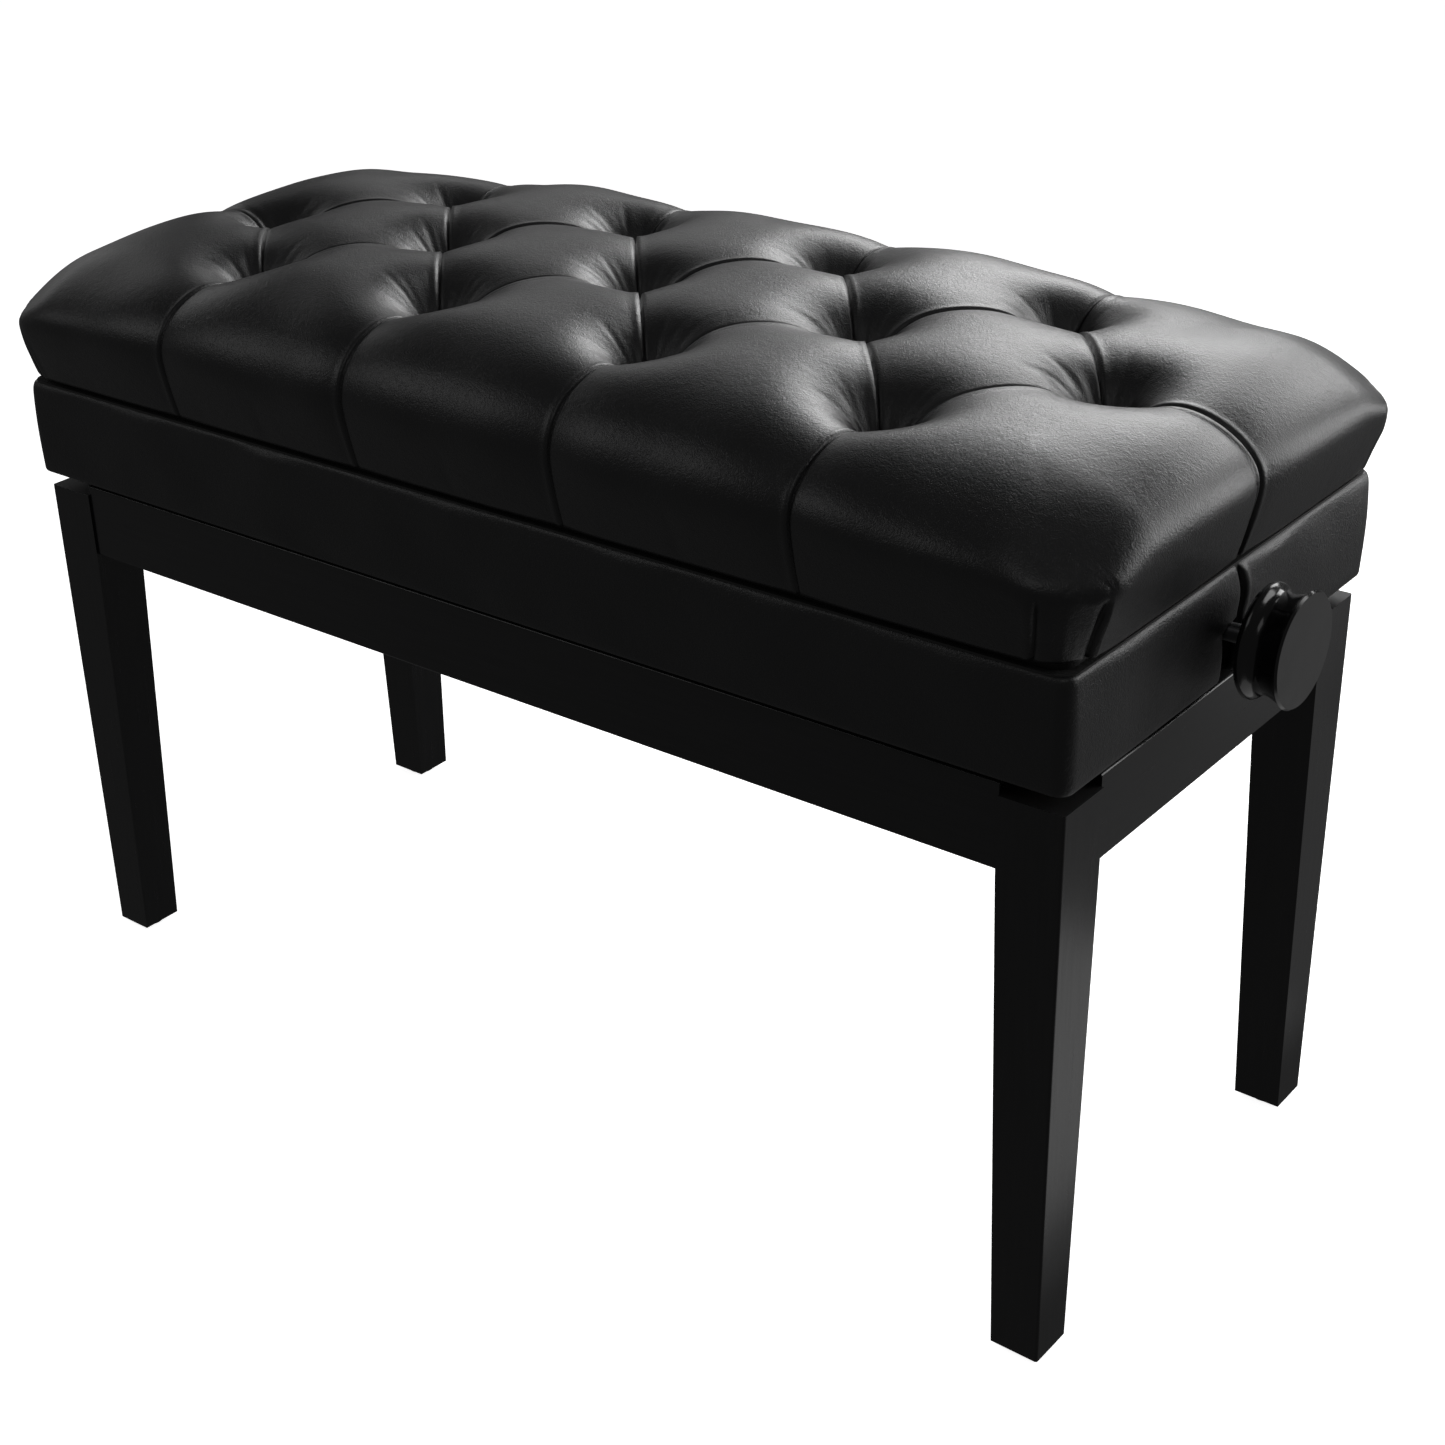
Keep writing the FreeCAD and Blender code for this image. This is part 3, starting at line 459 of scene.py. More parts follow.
def corner_folds(u, w, down, on_end, on_long):
    """Groove depth and lip height of the pleat and the tuck at each corner."""
    groove = np.zeros_like(u)
    lip = np.zeros_like(u)
    for mirror in (-1.0, 1.0):
        off = mirror * u - FOLD_U
        pleat = smoothstep(0.05, 0.4, down) * on_long
        groove = np.maximum(groove, PLEAT_DEPTH * pleat * np.exp(-np.abs(off / PLEAT_WIDTH) ** 1.4))
        lip += PLEAT_LIP * pleat * np.exp(-((off + 0.003) / 0.003) ** 2)
        off = mirror * w - FOLD_W
        tuck = smoothstep(0.12, 0.5, down) * on_end
        groove = np.maximum(groove, TUCK_DEPTH * tuck * np.exp(-np.abs(off / TUCK_WIDTH) ** 1.3))
        lip += TUCK_LIP * tuck * np.exp(-((off + 0.0034) / 0.0030) ** 2)
        lip -= TUCK_RECESS * tuck * smoothstep(0.0, 0.004, off) * (1 - smoothstep(0.008, 0.022, off))
    return groove, lip


def end_creases(u, w):
    """The shallow second crease in front of each end pleat, which joins it lower down."""
    total = np.zeros_like(u)
    for end in (-1.0, 1.0):
        top = ((INNER_X + 0.004) * end, -0.004 * end)
        bend = ((INNER_X + 0.052) * end, -0.0085 * end)
        foot = (FAR_U * end, -0.0015 * end)
        for start, stop in ((top, bend), (bend, foot)):
            distance = near_segment(u, w, start, stop)[0]
            total = np.maximum(total, np.exp(-(distance / CREASE_WIDTH) ** 2))
    return CREASE_DEPTH * total


def fan(u, w, centre, heading, spread, count, strength, rng):
    """Creases that gather towards a dimple from one side of it."""
    radius = np.hypot(u - centre[0], w - centre[1])
    angle = np.arctan2(w - centre[1], u - centre[0])
    total = np.zeros_like(u)
    for index in range(count):
        offset = spread * (2 * (index + 0.5) / count - 1) + rng.uniform(-0.07, 0.07)
        reach = rng.uniform(0.026, 0.050)
        depth = rng.uniform(0.5, 1.0) * strength
        bend = rng.uniform(-5.0, 5.0)
        turn = angle - heading - offset - bend * (radius - 0.012)
        turn = (turn + math.pi) % (2 * math.pi) - math.pi
        across = radius * np.sin(np.clip(turn, -1.5, 1.5))
        width = 0.0011 + 0.032 * radius
        fade = smoothstep(0.004, 0.013, radius) * (1 - smoothstep(0.3 * reach, reach, radius))
        total -= depth * fade * np.exp(-(across / width) ** 2) * (np.abs(turn) < 1.4)
    return total


def wrinkles(u, w):
    """Gathered creases round every dimple, deepest on its left."""
    rng = np.random.default_rng(11)
    total = np.zeros_like(u)
    for centre in DIMPLES:
        for heading, spread, count, strength in FANS:
            total += fan(u, w, centre, heading, spread, count, strength, rng)
    for end in (-1.0, 1.0):
        for mirror in (-1.0, 1.0):
            pinch = (end * (TOP_X + PINCH_DROP), mirror * FOLD_W)
            total += fan(u, w, pinch, math.pi * (end > 0) - end * mirror * 0.35, 0.8, 5, 0.7, rng)
    return WRINKLE_DEPTH * total


def unevenness(u, w):
    """Slow waves that keep hand-pulled leather from looking machined."""
    rng = np.random.default_rng(5)
    total = np.zeros_like(u)
    for _ in range(9):
        length = rng.uniform(0.035, 0.12)
        heading = rng.uniform(0.0, math.pi)
        phase = rng.uniform(0.0, 2 * math.pi)
        along = u * math.cos(heading) + w * math.sin(heading)
        total += length * np.sin(2 * math.pi * along / length + phase)
    return WAVE_HEIGHT * total


def tufting(u, w, down, on_end, on_long):
    """How far the leather stands out from the untufted surface, and how far it shifts along it."""
    blend = np.zeros_like(u)
    groove = np.zeros_like(u)
    lip = np.zeros_like(u)
    shift_u = np.zeros_like(u)
    shift_w = np.zeros_like(u)
    funnel, nearest = dimple_field(u, w)
    fade = (1.0 - 0.4 * smoothstep(0.3, 1.0, down)) * smoothstep(0.003, 0.012, nearest)
    for start, end, lip_side in PLEATS:
        distance, side, to_u, to_w = near_segment(u, w, start, end)
        blend += (distance + 1e-5) ** -4.0
        groove = np.maximum(groove, np.exp(-(distance / GROOVE_WIDTH) ** 1.5))
        on_lip = side == lip_side
        roll = np.exp(-((distance - 0.4 * LIP_WIDTH) / LIP_WIDTH) ** 2)
        lip = np.where(on_lip, np.maximum(lip, roll), lip)
        lean = np.where(on_lip, LIP_LEAN, BACK_LEAN) * fade * np.exp(-(distance / LIP_WIDTH) ** 2)
        lean = np.minimum(lean, 0.8 * distance)
        shift_u += lean * to_u
        shift_w += lean * to_w
    puff = 1.0 - np.exp(-(blend ** -0.25 / PUFF_WIDTH) ** PUFF_POWER)
    level = 1.0 - 0.7 * smoothstep(0.0, 0.8, down)
    fold_groove, fold_lip = corner_folds(u, w, down, on_end, on_long)
    rise = PUFF_HEIGHT * puff * level - DIMPLE_DEPTH * funnel
    rise += LIP_HEIGHT * lip * fade - GROOVE_DEPTH * groove * fade
    rise += fold_lip - fold_groove - end_creases(u, w)
    rise += (wrinkles(u, w) + unevenness(u, w) * smoothstep(0.01, 0.04, nearest)) * level
    return rise, shift_u, shift_w


def mesh_normals(points, triangles):
    """Vertex normals, from the faces round each vertex."""
    corners = points[triangles]
    face = np.cross(corners[:, 1] - corners[:, 0], corners[:, 2] - corners[:, 0])
    normal = np.zeros_like(points)
    for corner in range(3):
        np.add.at(normal, triangles[:, corner], face)
    return normal / np.maximum(np.linalg.norm(normal, axis=1, keepdims=True), 1e-15)


def top_triangles(quad, u, w):
    """Splits each top cell along the diagonal that its nearest pleat follows."""
    cell_u = np.floor((u[quad].mean(axis=1) + 2 * PITCH) / (PITCH / 2)).astype(int)
    cell_w = np.floor((w[quad].mean(axis=1) + ROW) / ROW).astype(int)
    rising = ((cell_u + cell_w) % 2 == 1)[:, None]
    first = np.where(rising, quad[:, [0, 1, 2]], quad[:, [0, 1, 3]])
    second = np.where(rising, quad[:, [0, 2, 3]], quad[:, [1, 2, 3]])
    return np.concatenate([first, second])


def coarse_steps(count, keep, stride):
    """Every few grid lines, the last line, and the lines that must be kept."""
    return np.array(sorted(set(range(0, count, stride)) | {count - 1} | set(keep)))


def cloth_faces(top, rings, u_lines, w_lines, ring_steps):
    """The coarse net of the cover: vertex numbers of its top, its rings, and its quads."""
    net = top[np.ix_(u_lines, w_lines)]
    on_net = np.isin(rings[0], net)
    loops = [rings[step][on_net] for step in ring_steps]
    quads = [np.stack([net[:-1, :-1], net[1:, :-1], net[1:, 1:], net[:-1, 1:]], axis=-1).reshape(-1, 4)]
    for upper, lower in zip(loops[:-1], loops[1:]):
        quads.append(np.stack([upper, lower, np.roll(lower, -1), np.roll(upper, -1)], axis=-1))
    return net, on_net, loops, np.concatenate(quads)


def run_cloth(points, quads, hold):
    """Lets a slightly loose cover settle under the foam's pressure, and returns its moves."""
    used, local = np.unique(quads, return_inverse=True)
    cover = mesh_object("cloth_cover", points[used], local.reshape(-1, 4).tolist())
    group = cover.vertex_groups.new(name="held")
    for index, weight in enumerate(hold[used]):
        group.add([index], float(weight), "REPLACE")
    cloth = cover.modifiers.new("cloth", "CLOTH")
    for setting, value in CLOTH_SETTINGS.items():
        setattr(cloth.settings, setting, value)
    cloth.settings.vertex_group_mass = "held"
    cloth.settings.effector_weights.gravity = 0.0
    scene = bpy.context.scene
    for moment in range(1, CLOTH_FRAMES + 1):
        scene.frame_set(moment)
    settled = cover.evaluated_get(bpy.context.evaluated_depsgraph_get()).to_mesh()
    after = np.array([vertex.co[:] for vertex in settled.vertices])
    scene.frame_set(1)
    moves = np.zeros_like(points)
    moves[used] = after - points[used]
    mesh = cover.data
    bpy.data.objects.remove(cover)
    bpy.data.meshes.remove(mesh)
    return moves


def spread_moves(moves, top, rings, net, on_net, loops, lines):
    """The coarse net's moves, interpolated to every vertex of the cushion."""
    u_lines, w_lines, ring_steps = lines
    full = np.zeros_like(moves)
    rows, columns = np.arange(top.shape[0]), np.arange(top.shape[1])
    rim_steps = np.flatnonzero(on_net)
    rim_count = len(rings[0])
    around = np.concatenate([rim_steps - rim_count, rim_steps, rim_steps + rim_count])
    for axis in range(3):
        coarse = moves[net][..., axis]
        half = np.stack([np.interp(rows, u_lines, column) for column in coarse.T], axis=1)
        full[top, axis] = np.stack([np.interp(columns, w_lines, row) for row in half])
        side = np.array([moves[loop][:, axis] for loop in loops])
        wide = np.stack([np.interp(np.arange(rim_count), around, np.tile(row, 3)) for row in side])
        deep = np.stack([np.interp(np.arange(len(rings)), ring_steps, column) for column in wide.T], axis=1)
        for step in range(1, len(rings)):
            full[rings[step], axis] = deep[step]
    return full


def smoothed(field, triangles, rounds):
    """A field over the mesh, averaged with its neighbours a few times."""
    pairs = np.concatenate([triangles[:, [0, 1]], triangles[:, [1, 2]], triangles[:, [2, 0]]])
    starts, ends = np.concatenate([pairs, pairs[:, ::-1]]).T
    count = np.bincount(starts, minlength=len(field))[:, None]
    for _ in range(rounds):
        total = np.stack([np.bincount(starts, field[ends, axis], len(field)) for axis in range(3)], axis=1)
        field = 0.4 * field + 0.6 * total / count
    return field


def settle(points, top, rings, triangles, far_u, far_w):
    """The cushion's cover after the cloth simulation, never moved further than a small cap."""
    keep_u = [int(np.argmin(np.abs(U_STOPS - u))) for u, _ in DIMPLES]
    keep_w = [int(np.argmin(np.abs(W_STOPS - w))) for _, w in DIMPLES]
    u_lines = coarse_steps(top.shape[0], keep_u, CLOTH_STRIDE)
    w_lines = coarse_steps(top.shape[1], keep_w, CLOTH_STRIDE)
    ring_steps = coarse_steps(len(rings), [], CLOTH_RING_STRIDE)
    net, on_net, loops, quads = cloth_faces(top, rings, u_lines, w_lines, ring_steps)
    to_fold = np.min([near_segment(far_u, far_w, start, end)[0] for start, end, _ in PLEATS], axis=0)
    hold = HOLD_AT_FOLD * np.exp(-(to_fold / HOLD_WIDTH) ** 2)
    hold = np.maximum(hold, np.exp(-(dimple_field(far_u, far_w)[1] / DIMPLE_HOLD) ** 4))
    hold[rings[-1]] = 1.0
    moves = run_cloth(points, quads, hold)
    moves = spread_moves(moves, top, rings, net, on_net, loops, (u_lines, w_lines, ring_steps))
    moves = smoothed(moves, triangles, SMOOTHING_ROUNDS)
    size = np.linalg.norm(moves, axis=1, keepdims=True)
    moves = moves * CLOTH_CAP * np.tanh(size / CLOTH_CAP) / np.maximum(size, 1e-9)
    moves[rings[-1]] = 0.0
    return points + moves


def make_cushion():
    """The tufted cushion as one closed mesh: top, four sides and a flat underside."""
    u_grid, w_grid = np.meshgrid(U_STOPS, W_STOPS, indexing="ij")
    top = np.arange(u_grid.size).reshape(u_grid.shape)
    # The rim is walked once round, so that the sides share its vertices.
    rim = np.concatenate([top[:-1, 0], top[-1, :-1], top[:0:-1, -1], top[0, :0:-1]])
    u = np.concatenate([u_grid.ravel()] + [u_grid.ravel()[rim]] * len(S_STOPS))
    w = np.concatenate([w_grid.ravel()] + [w_grid.ravel()[rim]] * len(S_STOPS))
    s = np.concatenate([np.zeros(top.size), np.repeat(S_STOPS, len(rim))])
    rings = [rim] + [top.size + ring * len(rim) + np.arange(len(rim)) for ring in range(len(S_STOPS))]

    quad = np.stack([top[:-1, :-1], top[1:, :-1], top[1:, 1:], top[:-1, 1:]], axis=-1).reshape(-1, 4)
    triangles = [top_triangles(quad, u, w)]
    for upper, lower in zip(rings[:-1], rings[1:]):
        after_upper, after_lower = np.roll(upper, -1), np.roll(lower, -1)
        triangles.append(np.stack([upper, lower, after_lower], axis=-1))
        triangles.append(np.stack([upper, after_lower, after_upper], axis=-1))
    triangles = np.concatenate(triangles)

    on_end = np.abs(np.abs(u) - TOP_X) < 1e-9
    on_long = np.abs(np.abs(w) - TOP_Y) < 1e-9
    far_u = u + np.where(on_end, np.sign(u) * s, 0.0)
    far_w = w + np.where(on_long, np.sign(w) * s, 0.0)
    rise, shift_u, shift_w = tufting(far_u, far_w, s / SIDE_LENGTH, on_end, on_long)
    near_tuck = np.exp(-((np.abs(w) - FOLD_W) / TUCK_REACH) ** 2) * smoothstep(0.5, 1.0, np.abs(u) / TOP_X)
    shift_w -= TUCK_SLANT * np.sign(w) * near_tuck * (1.0 - s / SIDE_LENGTH)
    normal = mesh_normals(base_surface(u, w, s), triangles)
    points = base_surface(u + np.where(on_end, 0.0, shift_u), w + np.where(on_long, 0.0, shift_w), s)
    points += normal * rise[:, None]
    points = settle(points, top, rings, triangles, far_u, far_w)
    points[:, 2] = np.maximum(points[:, 2], BASE_Z)
    points[rings[-1], 2] = BASE_Z
    return mesh_object("tufted_cushion", points, triangles.tolist() + [rings[-1][::-1].tolist()])


cushion = make_cushion()
cushion.data.materials.append(CUSHION_LEATHER)
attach(cushion, "seat")
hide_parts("cushion")


# ---- seat box cover, in metres ----------------------------------------------

BOX_HALF_X = 0.375
BOX_HALF_Y = 0.158
BOX_CORNER = 0.008
COVER_THICKNESS = 0.0012
HEM_FADE = 0.030       # how far from a seam its slant is felt
NOTCH_HALF = 0.0085    # half the width of the knob's slot, between the hems
NOTCH_TOP = 0.3745
NOTCH_CORNER = 0.006
SLIT_GAPE = 0.0020     # how far the seam above the notch gapes
LIP_RISE = 0.0011      # how far the band's end stands out at the seam
PULL_DEPTH = 0.0016    # how far the leather is drawn in at the top of the notch
COVER_WAVES = 0.0018   # height of the cover's slow waves, for each unit of their length

# Section of the cover, from under the cushion round to under the boards: offset outwards, and height
COVER_SECTION = [
    (-0.0080, 0.4046), (-0.0045, 0.4050), (-0.0012, 0.4040), (0.0002, 0.4008), (0.0008, 0.3950),
    (0.0012, 0.3850), (0.0013, 0.3740), (0.0011, 0.3560), (0.0010, 0.3475), (0.0006, 0.3448),
    (-0.0010, 0.3436), (-0.0060, 0.3434), (-0.0150, 0.3438),
]
# Slant of each seam: height, and distance past the middle of the end
SEAM_LINE = [(0.3745, 0.0078), (0.3820, 0.0094), (0.3900, 0.0090), (0.3985, 0.0054), (0.4060, 0.0026)]
# Columns at a hem: distance from the seam, and depth turned in
HEM = [
    (0.0008, 0.0070), (0.0001, 0.0045), (0.0000, 0.0024),
    (0.0005, 0.0010), (0.0014, 0.0003), (0.0028, 0.0),
]

END_LENGTH = BOX_HALF_Y - BOX_CORNER
BEND_LENGTH = 0.5 * math.pi * BOX_CORNER
BAND_LENGTH = 2 * (END_LENGTH + BEND_LENGTH + BOX_HALF_X - BOX_CORNER)


def outline_point(along, out):
    """A point of the front half of the box's outline, from the middle of its right end, pushed outwards."""
    from_seam = np.minimum(along, BAND_LENGTH - along)
    turn = np.clip((from_seam - END_LENGTH) / BOX_CORNER, 0.0, 0.5 * math.pi)
    past_bend = np.maximum(from_seam - END_LENGTH - BEND_LENGTH, 0.0)
    x = BOX_HALF_X - BOX_CORNER + (BOX_CORNER + out) * np.cos(turn) - past_bend
    y = -np.minimum(from_seam, END_LENGTH) - (BOX_CORNER + out) * np.sin(turn)
    return np.where(along < 0.5 * BAND_LENGTH, x, -x), y


def seam_edges(height):
    """How far the band begins past the right end's middle and stops short of the left end's."""
    line = rounded_line(SEAM_LINE, 2)
    slant = np.interp(height, line[:, 0], line[:, 1])
    open_part = np.clip((height - NOTCH_TOP) / (SEAM_LINE[-1][0] - NOTCH_TOP), 0.0, 1.0)
    half_gape = 2.0 * SLIT_GAPE * open_part * (1.0 - open_part) + 0.0001
    into_corner = np.clip(height - NOTCH_TOP + NOTCH_CORNER, 0.0, NOTCH_CORNER) / NOTCH_CORNER
    notch = NOTCH_HALF - NOTCH_CORNER * (1.0 - np.sqrt(1.0 - into_corner ** 2))
    below = height < NOTCH_TOP
    return np.where(below, notch, half_gape - slant), np.where(below, notch, half_gape + slant)


def band_columns():
    """Distances along the band and depths turned in, closest at the hems and round the corners."""
    hem = np.array(HEM)
    half = 0.5 * BAND_LENGTH
    stops = np.concatenate([
        hem[:, 0],
        np.geomspace(0.0045, 0.030, 9),
        np.linspace(0.030, END_LENGTH, 26)[1:],
        END_LENGTH + np.linspace(0.0, BEND_LENGTH, 11)[1:],
        np.linspace(END_LENGTH + BEND_LENGTH, half, 60)[1:],
    ])
    depths = np.zeros_like(stops)
    depths[:len(hem)] = hem[:, 1]
    return np.concatenate([stops, BAND_LENGTH - stops[-2::-1]]), np.concatenate([depths, depths[-2::-1]])


def cover_points():
    """The front band's outer surface, as a grid of points."""
    section = rounded_line(COVER_SECTION, 2)
    stops, depths = band_columns()
    along, height = np.meshgrid(stops, section[:, 1], indexing="ij")
    out = np.meshgrid(stops, section[:, 0], indexing="ij")[1]
    begin, stop_short = seam_edges(height)
    from_right, from_left = along, BAND_LENGTH - along
    along = along + begin * (1.0 - smoothstep(0.0, HEM_FADE, from_right))
    along = along - stop_short * (1.0 - smoothstep(0.0, HEM_FADE, from_left))
    rng = np.random.default_rng(23)
    on_face = smoothstep(0.343, 0.350, height) * (1.0 - smoothstep(0.398, 0.405, height))
    for _ in range(10):
        length = rng.uniform(0.04, 0.16)
        slope = rng.uniform(-2.0, 2.0)
        phase = rng.uniform(0.0, 2 * math.pi)
        wave = np.sin(2 * math.pi * (along + slope * height) / length + phase)
        out = out + COVER_WAVES * length * wave * on_face
    out = out + LIP_RISE * on_face * np.exp(-((from_left - 0.004) / 0.004) ** 2)
    to_seam = np.minimum(from_right, from_left)
    pull = np.exp(-(to_seam / 0.012) ** 2) * np.exp(-((height - NOTCH_TOP) / 0.010) ** 2)
    out = out - PULL_DEPTH * pull - depths[:, None]
    x, y = outline_point(along, out)
    return np.stack([x, y, height], axis=-1)


def cover_band(name, turn):
    """One leather band as a closed thin shell: turn is 1 for the front and -1 for the back."""
    grid = cover_points()
    rows, columns = grid.shape[:2]
    index = np.arange(rows * columns).reshape(rows, columns)
    corners = [index[:-1, :-1], index[:-1, 1:], index[1:, 1:], index[1:, :-1]]
    quads = np.stack(corners, axis=-1).reshape(-1, 4)
    points = grid.reshape(-1, 3)
    triangles = np.concatenate([quads[:, [0, 1, 2]], quads[:, [0, 2, 3]]])
    normal = mesh_normals(points, triangles)
    middle = index[rows // 2, columns // 2]
    if normal[middle, 1] > 0:
        quads = quads[:, ::-1]
        normal = -normal
    inner = points - COVER_THICKNESS * normal
    border = np.concatenate([index[:-1, 0], index[-1, :-1], index[:0:-1, -1], index[0, :0:-1]])
    after = np.roll(border, -1)
    shift = len(points)
    strip = np.stack([border, after, after + shift, border + shift], axis=-1)
    faces = np.concatenate([quads, quads[:, ::-1] + shift, strip]).tolist()
    both = np.concatenate([points, inner]) * np.array([turn, turn, 1.0])
    band = mesh_object(name, both, faces)
    tidy = bmesh.new()
    tidy.from_mesh(band.data)
    bmesh.ops.recalc_face_normals(tidy, faces=tidy.faces)
    tidy.to_mesh(band.data)
    tidy.free()
    band.data.materials.append(SKIRT_LEATHER)
    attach(band, "seat")
    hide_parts("skirt_wrap")
    return band


cover_band("box_cover_front", 1.0)
cover_band("box_cover_back", -1.0)


# ---- drive screw, in metres -------------------------------------------------

SCREW_RADIUS = 0.005
SCREW_HEIGHT = 0.369
SCREW_HALF = 0.408
THREAD_DEPTH = 0.0006
THREAD_LEAD = 0.002974
THREAD_START = 0.018
THREAD_END = 0.112
SCREW_SIDES = 32
STEPS_PER_TURN = 8
END_CHAMFER = 0.0008


def drive_screw():
    """The rod with its right-hand thread on one side of the middle and its left-hand one on the other."""
    cut = np.arange(THREAD_START, THREAD_END, THREAD_LEAD / STEPS_PER_TURN)
    plain = np.array([0.2, 0.3, SCREW_HALF - END_CHAMFER, SCREW_HALF])
    half = np.concatenate([[0.006], cut, plain])
    stops = np.concatenate([-half[::-1], [0.0], half])
    angles = 2 * math.pi * np.arange(SCREW_SIDES) / SCREW_SIDES
    x, angle = np.meshgrid(stops, angles, indexing="ij")
    wave = 0.5 + 0.5 * np.cos(2 * math.pi * np.abs(x) / THREAD_LEAD - angle)
    near = np.abs(x)
    threaded = smoothstep(THREAD_START, THREAD_START + 0.002, near)
    threaded = threaded * (1.0 - smoothstep(THREAD_END - 0.004, THREAD_END - 0.001, near))
    radius = SCREW_RADIUS - THREAD_DEPTH * threaded * smoothstep(0.2, 0.8, wave)
    radius = radius - END_CHAMFER * (near > SCREW_HALF - 0.5 * END_CHAMFER)
    points = np.stack([x, radius * np.cos(angle), SCREW_HEIGHT + radius * np.sin(angle)], axis=-1)
    index = np.arange(x.size).reshape(x.shape)
    after = np.roll(index, -1, axis=1)
    quads = np.stack([index[:-1], after[:-1], after[1:], index[1:]], axis=-1).reshape(-1, 4).tolist()
    faces = quads + [index[0][::-1].tolist(), index[-1].tolist()]
    return mesh_object("threaded_screw", points.reshape(-1, 3), faces)


screw = drive_screw()
# painted shade: the screw gets the near-black steel that stands for the shade in the slot
screw.data.materials.append(PAINTED_SHADE_STEEL)
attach(screw, "drive_screw_assembly")
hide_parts("drive_screw")


# ---- floor, light and camera ----------------------------------------------

FLOOR_SIDES = 96
# Section of the floor: distance from the middle, and height
FLOOR_SECTION = [(0.5, 0.0), (9.0, 0.0), (14.0, 0.0), (16.0, 2.0), (16.0, 12.0)]
FLOOR_GLOW = 0.93      # the floor's own brightness, which also makes the pale background
WORLD_STRENGTH = 0.082

CAMERA_PLACE = (0.842, -1.003, 0.881)
CAMERA_TURN = (41.7, 27.0, -2.9)      # azimuth, elevation and roll, in degrees
CAMERA_LENS = 59.0
CAMERA_SHIFT = (0.09, -0.006)


def add_floor():
    """A wide pale floor that sweeps up far away, as in a photo studio."""
    sweep = rounded_line(FLOOR_SECTION, 3)
    points = [(0.0, 0.0, 0.0)]
    faces = []
    for ring, (radius, height) in enumerate(sweep):
        for side in range(FLOOR_SIDES):
            angle = 2 * math.pi * side / FLOOR_SIDES
            points.append((radius * math.cos(angle), radius * math.sin(angle), height))
            after = (side + 1) % FLOOR_SIDES
            here = 1 + ring * FLOOR_SIDES
            inner = here - FLOOR_SIDES
            if ring == 0:
                faces.append((0, here + side, here + after))
            else:
                faces.append((inner + side, here + side, here + after, inner + after))
    floor = mesh_object("floor", points, faces)
    material, _, _, shader = new_material("floor_paint")
    shader.inputs["Base Color"].default_value = (0.92, 0.92, 0.92, 1.0)
    shader.inputs["Roughness"].default_value = 0.9
    shader.inputs["Specular IOR Level"].default_value = 0.1
    shader.inputs["Emission Color"].default_value = (1.0, 1.0, 1.0, 1.0)
    shader.inputs["Emission Strength"].default_value = FLOOR_GLOW
    floor.visible_glossy = False
    floor.visible_diffuse = False
    floor.data.materials.append(material)


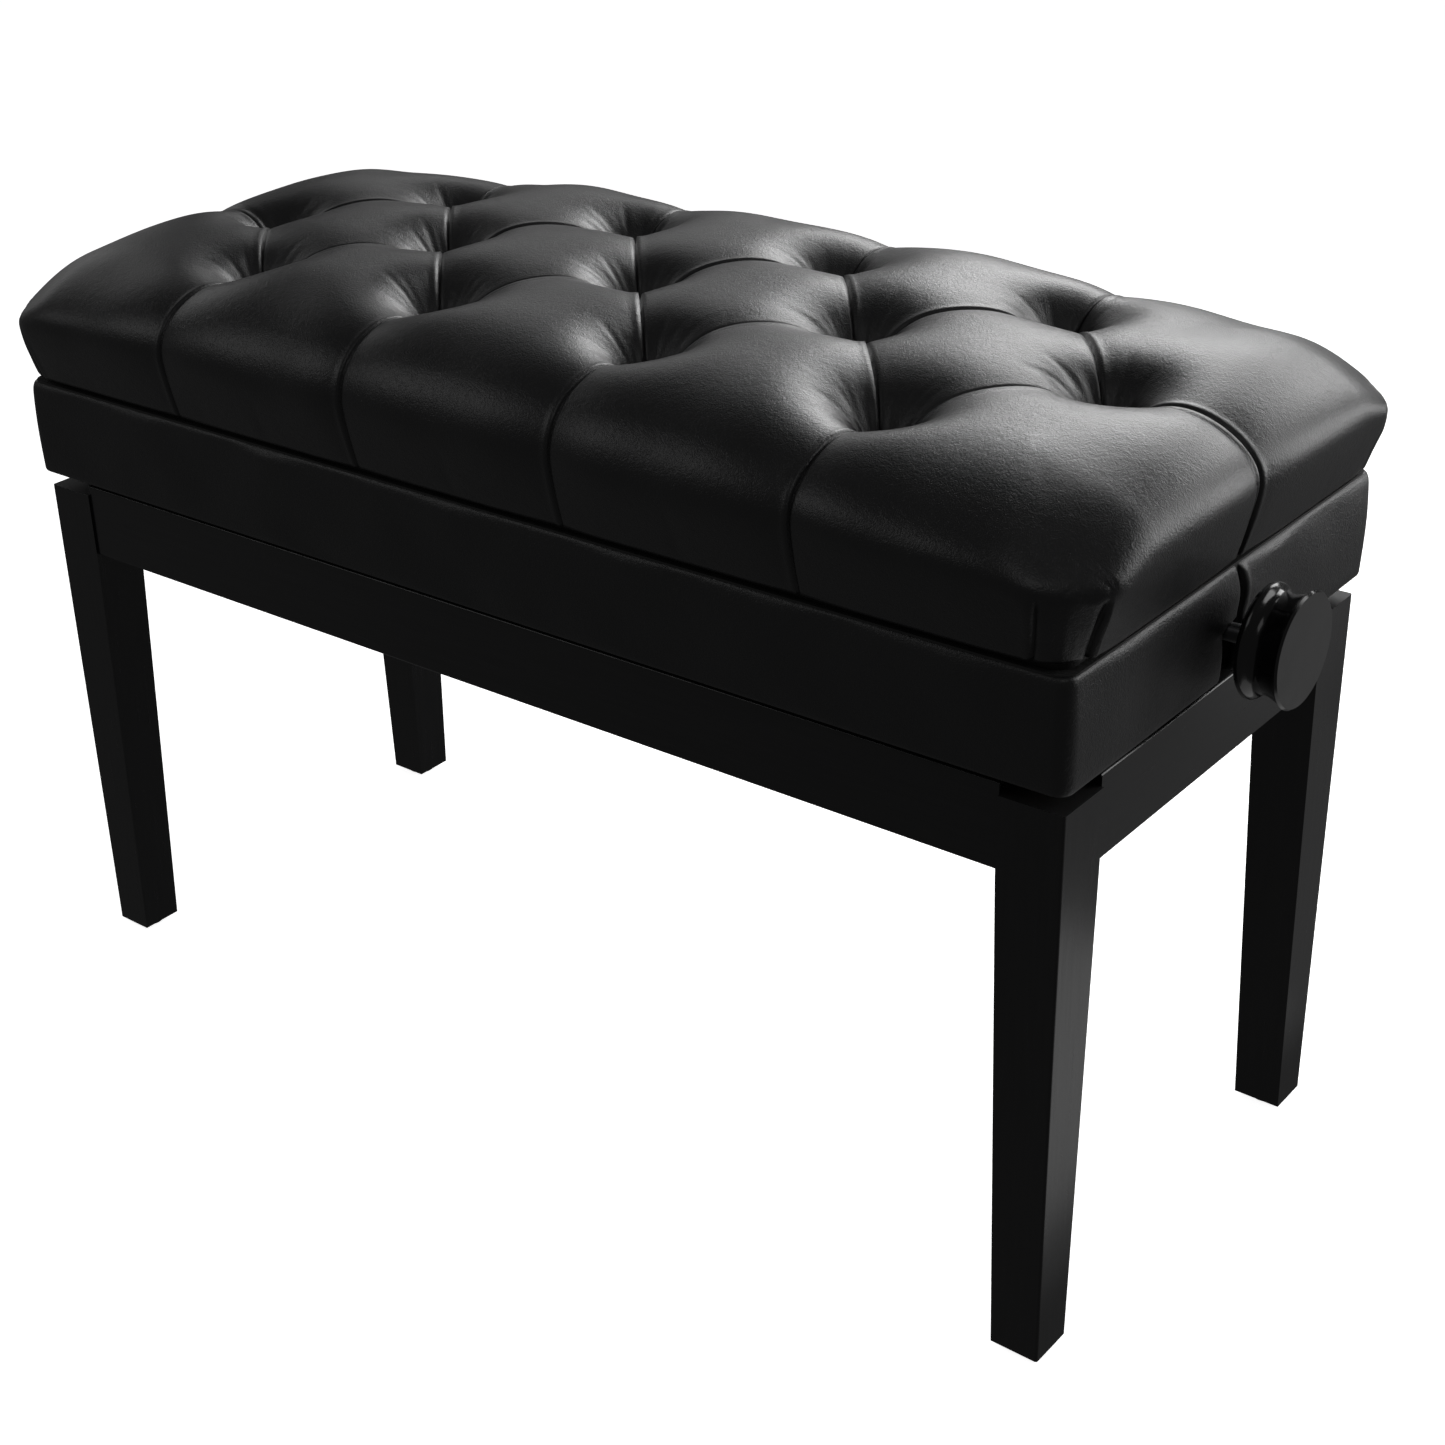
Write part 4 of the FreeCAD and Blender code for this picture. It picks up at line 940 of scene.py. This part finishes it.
# Soft lights: name, place, aim, size and power. The floor is hidden from glossy rays, so the three
# glows just above it stand for the bright floor that the right-hand surfaces mirror.
STUDIO = [
    ("main_back", (-0.2, 1.3, 1.1), (0.0, 0.0, 0.45), (0.8, 0.5), 9.0),
    ("back_right", (0.9, 1.0, 0.45), (0.2, 0.0, 0.45), (0.5, 0.4), 2.5),
    ("right", (1.0, 0.6, 0.8), (0.2, 0.0, 0.45), (0.5, 0.5), 2.5),
    ("near_right", (0.45, 0.7, 0.75), (0.4, 0.0, 0.45), (0.3, 0.3), 1.5),
    ("high_back", (0.0, 0.8, 1.4), (0.2, 0.0, 0.45), (0.5, 0.5), 2.0),
    ("back_left", (-1.3, 1.5, 1.3), (0.0, 0.0, 0.3), (0.9, 0.9), 2.0),
    ("left", (-2.0, 0.5, 1.0), (0.0, 0.0, 0.3), (0.9, 0.9), 1.5),
    ("front_left", (-1.3, -1.3, 1.4), (0.0, 0.0, 0.3), (0.9, 0.9), 2.5),
    ("front_high", (0.9, -1.1, 2.0), (0.0, 0.0, 0.3), (0.9, 0.9), 2.0),
    ("floor_glow", (0.68, 0.24, 0.004), (0.68, 0.2401, 1.0), (0.56, 0.76), 0.10),
    ("floor_glow_near", (0.55, 0.07, 0.005), (0.55, 0.0701, 1.0), (0.24, 0.32), 0.10),
    ("floor_glow_far", (0.85, 0.80, 0.005), (0.85, 0.8001, 1.0), (0.5, 0.4), 0.10),
]


def add_light(name, place, target, size, power):
    """A rectangular soft light aimed at a point."""
    data = bpy.data.lights.new(name, "AREA")
    data.shape = "RECTANGLE"
    data.size, data.size_y = size
    data.energy = power
    light = bpy.data.objects.new(name, data)
    bpy.context.scene.collection.objects.link(light)
    light.location = place
    light.visible_camera = False
    light.rotation_euler = (Vector(target) - Vector(place)).to_track_quat("-Z", "Y").to_euler()


def add_camera():
    """The camera, at the photograph's viewing angle."""
    azimuth, elevation, roll = (math.radians(angle) for angle in CAMERA_TURN)
    level = math.cos(elevation)
    back = Vector((math.sin(azimuth) * level, -math.cos(azimuth) * level, math.sin(elevation)))
    right = Vector((math.cos(azimuth), math.sin(azimuth), 0.0))
    up = back.cross(right)
    rolled_right = math.cos(roll) * right + math.sin(roll) * up
    rolled_up = -math.sin(roll) * right + math.cos(roll) * up
    data = bpy.data.cameras.new("camera")
    data.sensor_width = 36.0
    data.lens = CAMERA_LENS
    data.shift_x, data.shift_y = CAMERA_SHIFT
    camera = bpy.data.objects.new("camera", data)
    bpy.context.scene.collection.objects.link(camera)
    turn = Matrix((rolled_right, rolled_up, back)).transposed().to_4x4()
    camera.matrix_world = Matrix.Translation(CAMERA_PLACE) @ turn
    bpy.context.scene.camera = camera


add_floor()
for light in STUDIO:
    add_light(*light)
add_camera()

world = bpy.data.worlds.new("studio")
bpy.context.scene.world = world
world.use_nodes = True
background = world.node_tree.nodes["Background"]
background.inputs["Color"].default_value = (1.0, 1.0, 1.0, 1.0)
background.inputs["Strength"].default_value = WORLD_STRENGTH
bpy.context.scene.view_settings.view_transform = "Standard"
